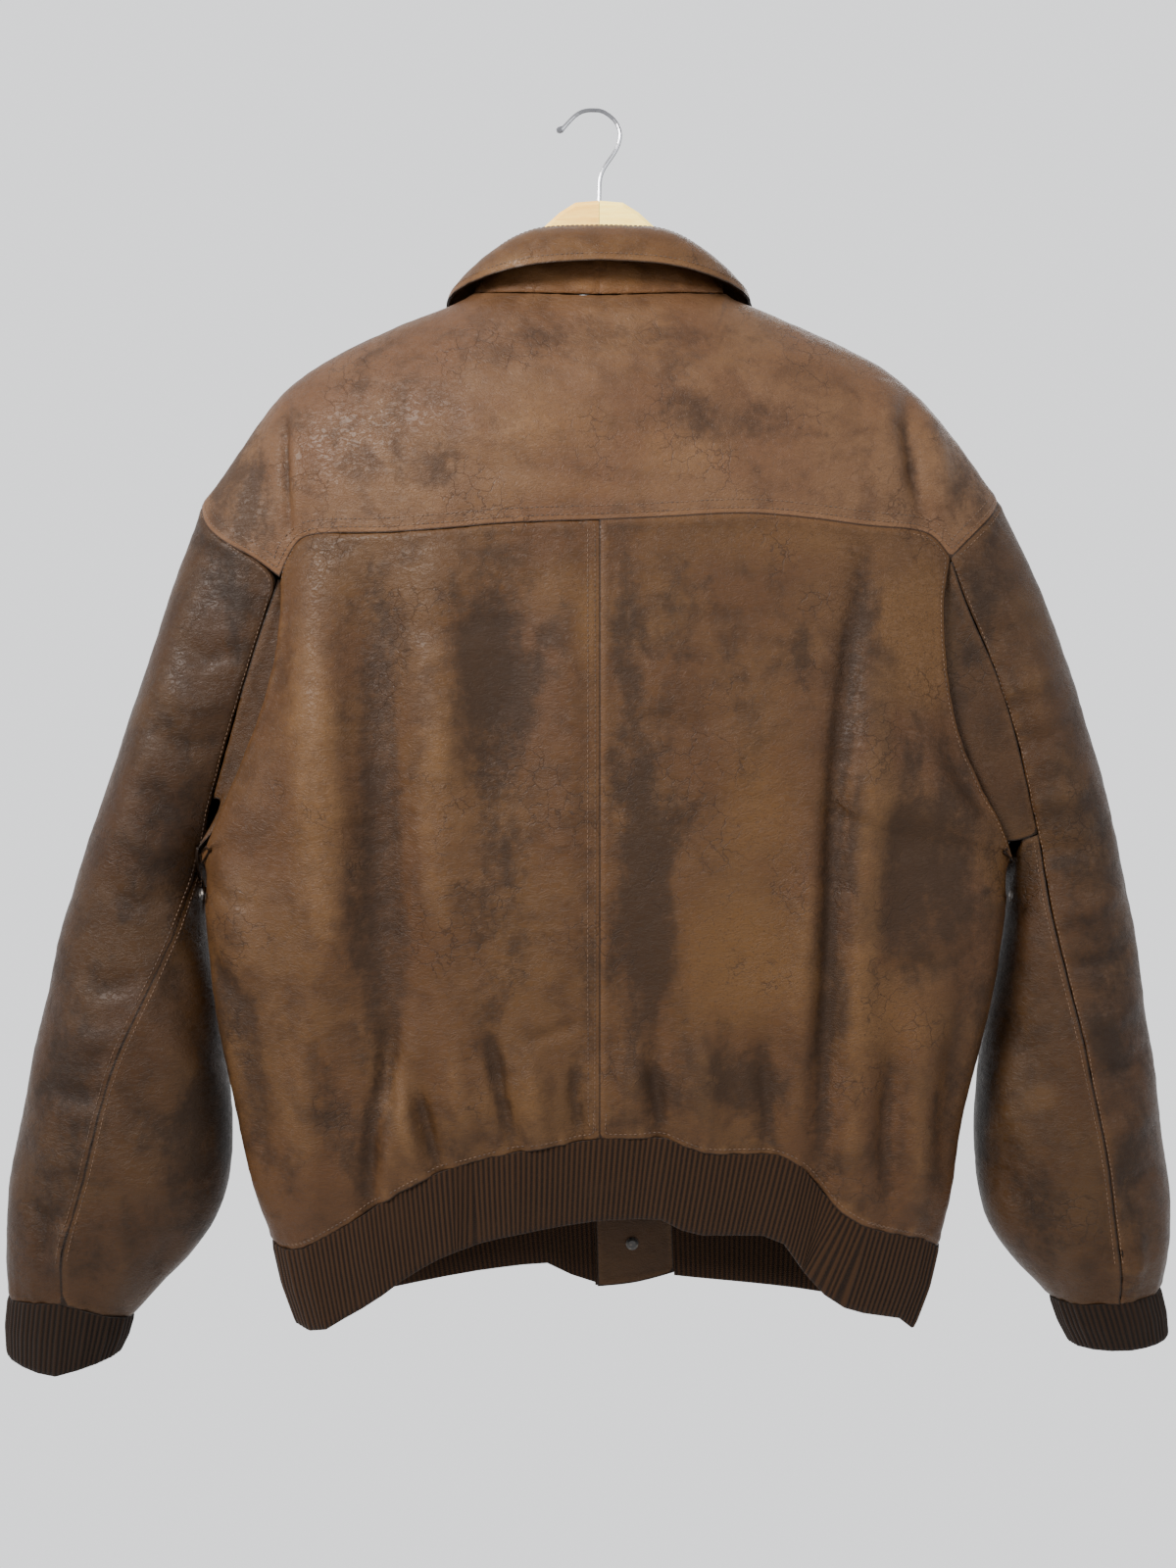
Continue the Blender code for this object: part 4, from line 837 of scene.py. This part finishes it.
def topstitch(name, rows):
    """One object holding all these rows."""
    made = []
    for row in rows:
        row = resampled(row, max(4, round(length_of(row) / (4 * MM))))
        for turn in range(2):
            row[1:-1] = (row[:-2] + 2 * row[1:-1] + row[2:]) / 4
        guide_data = bpy.data.curves.new("guide", "CURVE")
        guide_data.dimensions = "3D"
        line = guide_data.splines.new("POLY")
        line.points.add(len(row) - 1)
        for point, place in zip(line.points, row):
            point.co = (*place, 1)
        guide = bpy.data.objects.new("guide", guide_data)
        bpy.context.scene.collection.objects.link(guide)
        bpy.ops.object.select_all(action="DESELECT")
        bpy.ops.mesh.primitive_uv_sphere_add(segments=6, ring_count=4, radius=1, location=(0, 0, 0))
        stitch = bpy.context.active_object
        bpy.ops.transform.resize(value=(1.45 * MM, THREAD / 2, THREAD / 2))
        bpy.ops.transform.translate(value=(STITCH_PITCH / 2, 0, 0))
        bpy.ops.object.transform_apply(location=True, rotation=True, scale=True)
        laid = stitch.modifiers.new("repeat", "ARRAY")
        laid.use_relative_offset = False
        laid.use_constant_offset = True
        laid.constant_offset_displace = (STITCH_PITCH, 0, 0)
        laid.count = max(2, int(length_of(row) / STITCH_PITCH))
        bent = stitch.modifiers.new("follow", "CURVE")
        bent.object = guide
        bpy.ops.object.modifier_apply(modifier="repeat")
        bpy.ops.object.modifier_apply(modifier="follow")
        bpy.data.objects.remove(guide)
        made.append(stitch)
    only(*made)
    if len(made) > 1:
        bpy.ops.object.join()
    thread = bpy.context.active_object
    thread.name = name
    bpy.ops.object.shade_smooth()
    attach(thread, "root")
    print(name, len(made), "rows", len(thread.data.polygons), "faces")
    return thread


YOKE_LOW = spot(0, 500)[1]
CENTRE = spot(614, 0)[0]
BACK_LOW = spot(0, 1160)[1]
SLEEVE_LOW = spot(0, 1300)[1]
threads = []
rows = []
for inset in (4 * MM, 10 * MM):
    rows += seam_rows("back_yoke", inset, lambda p, n: n[1] < -0.3 and p[2] < YOKE_LOW)
threads.append(topstitch("stitches_yoke", rows))
rows = []
for inset in (3.5 * MM, 9 * MM):
    rows += seam_rows("back_panel_left", inset, lambda p, n: abs(p[0] - CENTRE) < 0.02 and p[2] > BACK_LOW)
for node in ("back_panel_left", "back_panel_right"):
    rows += seam_rows(node, 3.5 * MM,
                      lambda p, n: abs(p[0]) > 0.2 and n[1] < -0.2 and p[2] < YOKE_LOW - 0.03)
    rows += seam_rows(node, 4.5 * MM, lambda p, n: n[1] < -0.2 and abs(p[0]) < 0.26 and p[2] < -0.75)
threads.append(topstitch("stitches_back", rows))
for side in ("left", "right"):
    rows = seam_rows("sleeve_top_" + side, 3.5 * MM, lambda p, n: p[2] > SLEEVE_LOW)
    rows += seam_rows("sleeve_under_" + side, 3.5 * MM, lambda p, n: n[1] < 0.3 and p[2] > SLEEVE_LOW)
    threads.append(topstitch("stitches_sleeve_" + side, rows))
threads.append(topstitch("stitches_collar", seam_rows("collar_leaf", 5 * MM, lambda p, n: p[2] < -0.06)))
rows = []
for node in ("placket_overlap", "placket_underlap"):
    rows += seam_rows(node, 4 * MM, lambda p, n: n[1] > 0.2)
for node in ("front_left", "front_right"):
    rows += seam_rows(node, 4.5 * MM, lambda p, n: n[1] > 0.2)
threads.append(topstitch("stitches_front", rows))

# %% [markdown]
# ## A short way to write shaders
# Leather, knit and wood are each a stack of simple sums. This class lets a socket be added, multiplied
# and compared as a number would be, and one method makes any other node from its settings and inputs.

# %% Shader arithmetic
class Amount:
    def __init__(self, paint, socket):
        self.paint = paint
        self.socket = socket

    def math(self, operation, *others):
        return self.paint.node("ShaderNodeMath", {"operation": operation}, [self, *others])

    def __add__(self, other):
        return self.math("ADD", other)

    def __sub__(self, other):
        return self.math("SUBTRACT", other)

    def __mul__(self, other):
        return self.math("MULTIPLY", other)

    def __rsub__(self, other):
        return self.paint.node("ShaderNodeMath", {"operation": "SUBTRACT"}, [other, self])

    __radd__ = __add__
    __rmul__ = __mul__

    def between(self, low, high):
        """0 below low, 1 above high, and a smooth step from one to the other."""
        settings = {"interpolation_type": "SMOOTHSTEP"}
        inputs = {"Value": self, "From Min": low, "From Max": high}
        return self.paint.node("ShaderNodeMapRange", settings, inputs)


class Paint:
    """One material, with its Principled shader and what feeds it."""

    def __init__(self, name, roughness, metallic=0.0, **constants):
        self.material = bpy.data.materials.new(name)
        self.material.use_nodes = True
        self.tree = self.material.node_tree
        self.shader = next(n for n in self.tree.nodes if n.type == "BSDF_PRINCIPLED")
        self.shader.inputs["Roughness"].default_value = roughness
        self.shader.inputs["Metallic"].default_value = metallic
        for socket, value in constants.items():
            self.shader.inputs[socket.replace("_", " ")].default_value = value

    def node(self, kind, settings=None, inputs=None, output=0):
        made = self.tree.nodes.new(kind)
        for setting, value in (settings or {}).items():
            setattr(made, setting, value)
        pairs = inputs.items() if isinstance(inputs, dict) else enumerate(inputs or [])
        for key, value in pairs:
            if isinstance(value, Amount):
                self.tree.links.new(value.socket, made.inputs[key])
            else:
                made.inputs[key].default_value = value
        return Amount(self, made.outputs[output])

    def place(self):
        return self.node("ShaderNodeTexCoord", output="Object")

    def scaled(self, x, y, z, turn=(0.0, 0.0, 0.0)):
        inputs = {"Vector": self.place(), "Scale": (x, y, z), "Rotation": turn}
        return self.node("ShaderNodeMapping", {}, inputs)

    def noise(self, where, size_mm, detail=4.0, rough=0.55, bent=0.0):
        inputs = {"Vector": where, "Scale": 1000.0 / size_mm, "Detail": detail,
                  "Roughness": rough, "Distortion": bent}
        return self.node("ShaderNodeTexNoise", {}, inputs)

    def attribute(self, name, output="Color"):
        return self.node("ShaderNodeAttribute", {"attribute_name": name}, output=output)

    def parts(self, vector, output):
        return self.node("ShaderNodeSeparateXYZ", {}, [vector], output=output)

    def mixed(self, amount, under, over):
        """Colour under with this much of colour over on it."""
        made = self.tree.nodes.new("ShaderNodeMix")
        made.data_type = "RGBA"
        for key, value in ((0, amount), (6, under), (7, over)):
            if isinstance(value, Amount):
                self.tree.links.new(value.socket, made.inputs[key])
            elif key == 0:
                made.inputs[key].default_value = value
            else:
                made.inputs[key].default_value = (*value, 1.0)
        return Amount(self, made.outputs[2])

    def bump(self, height, strength, deep_mm):
        inputs = {"Height": height, "Strength": strength, "Distance": deep_mm * MM}
        return self.node("ShaderNodeBump", {}, inputs)

    def feed(self, **sockets):
        for name, value in sockets.items():
            self.tree.links.new(value.socket, self.shader.inputs[name.replace("_", " ")])


# %% [markdown]
# ## Worn leather
# The hide was dyed brown and has lost its finish where it was rubbed. Going from deep to shallow: a slow
# change of hue over the hide, dark patches, golden places, pale places that paint highlights on fold ridges
# and the top of the yoke, lighter fold ridges and darker troughs that are rubbed wear and grime with painted
# highlight and painted shade, dark specks, cracks, and the tan line of rubbed seams. The grain is a bump of
# cells under a millimetre with fine wrinkles over it.
# Panels were cut from different hides and have faded apart, so each kind of panel has its own tone.

# %% Worn leather
def worn_leather(name, red, dark_lift=0.0, seam=0.28, tone=1.0, pink=0.0):
    paint = Paint(name, 0.5, Specular_IOR_Level=0.12)

    def brown(r, g, b):
        return (r * tone * (0.40 + 0.04 * red), g * tone * (0.38 + 0.03 * pink),
                b * tone * (0.23 + 0.11 * pink))

    where = paint.place()
    wear_and_shading = paint.attribute("wear_and_shading", "Vector")
    rub_and_highlight, grime_and_shade, edge = (paint.parts(wear_and_shading, k) for k in range(3))
    stain_and_highlight = paint.attribute("stain_and_highlight", "Vector")
    dark, gold, pale = (paint.parts(stain_and_highlight, k) for k in range(3))
    slow = paint.noise(where, 90, 3.0)
    cloud = paint.noise(where, 26, 7.0, 0.62, 0.4)
    streak = paint.noise(paint.scaled(1.0, 1.0, 0.35), 18, 6.0, 0.6)
    fine = paint.noise(where, 5, 6.0, 0.66)
    dust = paint.noise(where, 1.3, 4.0, 0.6)
    base = paint.mixed(slow.between(0.35, 0.68), brown(0.125, 0.062, 0.034), brown(0.150, 0.082, 0.045))
    base = paint.mixed(cloud.between(0.40, 0.70) * 0.8, base, brown(0.082, 0.041, 0.022))
    broken = cloud * 0.55 + fine * 0.45
    golden = (gold + (broken - 0.5) * 0.9).between(0.28, 0.85)
    base = paint.mixed(golden * 0.8, base, brown(0.205, 0.112, 0.056))
    # Pale places: worn grain, and painted highlights where the ovals lie on fold ridges and along the top of
    # the yoke.
    light = (pale + (streak - 0.5) * 0.8).between(0.26, 0.95)
    base = paint.mixed(light * 0.60, base, brown(0.235, 0.138, 0.086))
    deep = (dark + dark_lift + (broken - 0.5) * 1.6 + (streak - 0.5) * 1.1).between(0.22, 0.82)
    base = paint.mixed(deep * 0.88, base, brown(0.050, 0.026, 0.014))
    # Lighter on ridges and darker in troughs: rubbed wear and grime, together with painted highlight and
    # painted shade on the folds.
    bare_and_lit = (rub_and_highlight + (fine - 0.5) * 0.6).between(0.18, 0.85)
    base = paint.mixed(bare_and_lit * 0.62, base, brown(0.26, 0.150, 0.088))
    dirt_and_shade = (grime_and_shade + (fine - 0.5) * 0.7).between(0.20, 0.80)
    base = paint.mixed(dirt_and_shade * 0.80, base, brown(0.045, 0.023, 0.013))
    rubbed = (edge + (fine - 0.5) * 0.5).between(0.30, 0.72)
    base = paint.mixed(rubbed * seam, base, brown(0.240, 0.128, 0.074))
    base = paint.mixed(edge.between(0.80, 0.97) * 0.95, base, brown(0.026, 0.013, 0.008))
    speck = paint.noise(where, 2.6, 3.0, 0.7).between(0.66, 0.74)
    base = paint.mixed(speck * (dark * 0.7 + 0.22), base, brown(0.030, 0.016, 0.010))
    pepper = dust.between(0.52, 0.72)
    base = paint.mixed(pepper * (golden * 0.40 + 0.32), base, brown(0.055, 0.028, 0.016))
    shake = paint.node("ShaderNodeTexNoise", {}, {"Vector": where, "Scale": 120.0}, output="Color")
    shaken = paint.node("ShaderNodeVectorMath", {"operation": "MULTIPLY_ADD"},
                        [shake, (0.012, 0.012, 0.012), where])
    cracks = paint.node("ShaderNodeTexVoronoi", {"feature": "DISTANCE_TO_EDGE"},
                        {"Vector": shaken, "Scale": 74.0})
    cracked = 1.0 - cracks.between(0.0, 0.045)
    where_cracked = paint.noise(where, 60, 4.0).between(0.52, 0.62)
    cracked = cracked * where_cracked
    base = paint.mixed(cracked * 0.55, base, brown(0.040, 0.020, 0.012))
    grain = paint.node("ShaderNodeTexVoronoi", {"feature": "SMOOTH_F1"},
                       {"Vector": where, "Scale": 900.0, "Smoothness": 0.6})
    wrinkle = paint.noise(paint.scaled(1.0, 1.0, 1.9), 7, 5.0, 0.6, 0.8)
    fold = (wrinkle - 0.5).math("ABSOLUTE").between(0.0, 0.09)
    relief = grain * 0.35 + fold * 0.9 + fine * 0.8 - cracked * 1.1 + dust * 0.25
    normal = paint.bump(relief, 0.5, 0.45)
    gloss = 0.43 + (fine - 0.5) * 0.22 + deep * 0.10 - light * 0.04 + (dust - 0.5) * 0.12
    paint.feed(Base_Color=base, Roughness=gloss, Normal=normal)
    return paint.material


LEATHERS = {
    "back_yoke": worn_leather("yoke leather", 1.0, dark_lift=0.0, seam=0.4, tone=1.04, pink=1.0),
    "back_panel": worn_leather("back leather", 1.1, dark_lift=0.04, tone=0.66, pink=0.15),
    "front": worn_leather("front leather", 0.5, tone=0.60),
    "placket": worn_leather("placket leather", 0.8, tone=0.55),
    "collar": worn_leather("collar leather", 0.8, dark_lift=-0.10, seam=0.4, tone=0.98, pink=0.2),
    "under_collar": worn_leather("pale under collar leather", 1.8, dark_lift=-0.30, seam=0.3, tone=0.95),
    "sleeve_top_left": worn_leather("left sleeve leather", 1.3, dark_lift=0.10, tone=0.36),
    "sleeve_top_right": worn_leather("right sleeve leather", 1.1, dark_lift=0.08, tone=0.46),
    "sleeve_under": worn_leather("under sleeve leather", 1.0, dark_lift=0.05, tone=0.44),
    "gusset": worn_leather("gusset leather", 1.0, dark_lift=0.0, tone=0.46),
}
for node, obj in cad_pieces.items():
    obj.data.materials.append(next(leather for start, leather in LEATHERS.items() if node.startswith(start)))

# %% [markdown]
# ## Rib knit
# The yarn is dark brown, and the cuffs get it at half the brightness: painted shade, since they hang in
# shadow. Each rib carries a column of small V stitches, and the colour paints light on the top of a rib and
# shade in its groove. The band's own layout, ribs across and millimetres down, was kept on its points, so
# the stitches follow it round.

# %% Rib knit
def rib_knit(name, tone):
    paint = Paint(name, 0.9, Specular_IOR_Level=0.1, Sheen_Weight=0.03, Sheen_Roughness=0.5)

    def yarn(r, g, b):
        return (r * tone, g * tone, b * tone)

    laid = paint.attribute("laid", "Vector")
    count, down = paint.parts(laid, 0), paint.parts(laid, 1)
    rib = (count * (2 * math.pi)).math("COSINE") * 0.5 + 0.5
    lean = (count * (4 * math.pi)).math("COSINE") * 0.5 + 0.5
    course = ((down * (2 * math.pi / 1.5)) + lean * 2.2).math("SINE") * 0.5 + 0.5
    fuzz = paint.noise(paint.place(), 1.1, 4.0, 0.7)
    patch = paint.noise(paint.place(), 34, 4.0, 0.6)
    # Painted highlight on the top of each rib and painted shade in its groove.
    base = paint.mixed(rib.between(0.1, 0.9), yarn(0.0032, 0.0013, 0.0005), yarn(0.0208, 0.0086, 0.0027))
    base = paint.mixed(course * 0.35, base, yarn(0.008, 0.0032, 0.0011))
    base = paint.mixed(fuzz.between(0.45, 0.75) * 0.3, base, yarn(0.032, 0.0144, 0.0054))
    base = paint.mixed(patch.between(0.50, 0.75) * 0.3, base, yarn(0.016, 0.0072, 0.0028))
    normal = paint.bump(course * 0.6 + fuzz * 0.8, 0.6, 0.5)
    paint.feed(Base_Color=base, Normal=normal)
    return paint.material


for band in knits:
    # The cuffs get the yarn at half the brightness: painted shade, since they hang in shadow.
    cuff = "cuff" in band.name
    name, tone = ("brown cuff knit in painted shade", 0.5) if cuff else ("brown hem knit", 1.0)
    band.data.materials.append(rib_knit(name, tone))

thread_paint = Paint("brown thread", 0.6)
thread_base = thread_paint.mixed(thread_paint.noise(thread_paint.place(), 14, 3.0).between(0.4, 0.6),
                                 (0.030, 0.014, 0.006), (0.070, 0.034, 0.014))
thread_paint.feed(Base_Color=thread_base)
for row in threads:
    row.data.materials.append(thread_paint.material)

# %% [markdown]
# ## Wood, wire and snaps
# The hanger is a pale hardwood sawn so that its lines run along the arms, and its two halves are of a
# slightly different tan. The wire is bright, and the snaps and eyelets have gone black.

# %% Wood and metal
def pale_wood(name, light, deep):
    paint = Paint(name, 0.5, Specular_IOR_Level=0.15)
    across = paint.scaled(0.25, 1.0, 3.0, turn=(0.0, 0.45 if "left" in name else -0.45, 0.0))
    line = paint.noise(across, 9, 5.0, 0.6, 0.5)
    fleck = paint.noise(paint.scaled(0.3, 1.0, 4.0), 1.6, 3.0, 0.6)
    base = paint.mixed(line.between(0.35, 0.70), light, deep)
    base = paint.mixed(fleck.between(0.55, 0.72) * 0.35, base, tuple(0.7 * k for k in deep))
    paint.feed(Base_Color=base, Roughness=0.36 + line * 0.16, Normal=paint.bump(fleck, 0.25, 0.2))
    return paint.material


def worn_metal(name, colour, roughness, spots, metallic=1.0):
    paint = Paint(name, roughness, metallic)
    cloud = paint.noise(paint.place(), 3.0, 4.0, 0.6)
    base = paint.mixed(cloud.between(0.5, 0.75) * 0.5, colour, spots)
    scratch = paint.noise(paint.place(), 0.5, 2.0)
    worn = roughness + (cloud - 0.5) * 0.2
    paint.feed(Base_Color=base, Roughness=worn, Normal=paint.bump(scratch, 0.08, 0.05))
    return paint.material


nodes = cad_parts
for node, material in (
    ("hanger_arm_left", pale_wood("tan wood left", (0.88, 0.56, 0.13), (0.74, 0.40, 0.07))),
    ("hanger_arm_right", pale_wood("pale wood right", (0.98, 0.74, 0.20), (0.92, 0.62, 0.13))),
    ("hanger_hook", worn_metal("bright wire", (0.20, 0.20, 0.21), 0.24, (0.10, 0.10, 0.11))),
):
    nodes[node].data.materials.clear()
    nodes[node].data.materials.append(material)
black_metal = worn_metal("blackened metal", (0.035, 0.032, 0.030), 0.34, (0.16, 0.13, 0.10), 0.8)
for node, obj in nodes.items():
    if node.startswith(("snap_", "eyelet_")):
        obj.data.materials.clear()
        obj.data.materials.append(black_metal)

# %% [markdown]
# ## Floor, light and camera
# The jacket hangs free, so the pale floor lies well below it. One large soft light stands high on the
# left, a weaker one on the right, and a pale surround fills the rest. The camera looks level at the
# back from 1.25 m, which gives the framing of the photograph.

# %% Stage
only(nodes["hanger_hook"])
bpy.ops.mesh.primitive_circle_add(vertices=96, radius=1.5, fill_type="NGON", location=(0, 0, -1.95))
floor = bpy.context.active_object
floor.name = "floor"
pale = Paint("pale floor", 0.8)
pale.shader.inputs["Base Color"].default_value = (0.72, 0.72, 0.72, 1)
floor.data.materials.append(pale.material)


def soft_light(name, place, aim, size, power, colour=(1.0, 1.0, 1.0)):
    bpy.ops.object.light_add(type="AREA", location=place)
    lamp = bpy.context.active_object
    lamp.name = name
    lamp.data.shape = "DISK"
    lamp.data.size = size
    lamp.data.energy = power
    lamp.data.color = colour
    lamp.rotation_euler = (Vector(aim) - Vector(place)).to_track_quat("-Z", "Y").to_euler()


soft_light("key", (-1.35, -1.6, 0.75), (0, 0, -0.45), 1.0, 165, (1.0, 0.985, 0.96))
soft_light("fill", (1.4, -1.6, 0.1), (0, 0, -0.5), 1.5, 26, (0.96, 0.98, 1.0))
soft_light("front", (0.5, 2.0, 0.6), (0, 0, -0.5), 1.6, 20)
world = bpy.data.worlds.new("pale surround")
world.use_nodes = True
world.node_tree.nodes["Background"].inputs["Color"].default_value = (0.82, 0.83, 0.85, 1)
world.node_tree.nodes["Background"].inputs["Strength"].default_value = 1.75
bpy.context.scene.world = world

bpy.ops.object.camera_add(location=(-0.0015, -1.25, -0.514), rotation=(math.radians(90), 0, 0))
camera = bpy.context.active_object
camera.data.sensor_fit = "VERTICAL"
camera.data.sensor_height = 24
camera.data.lens = 25
bpy.context.scene.camera = camera
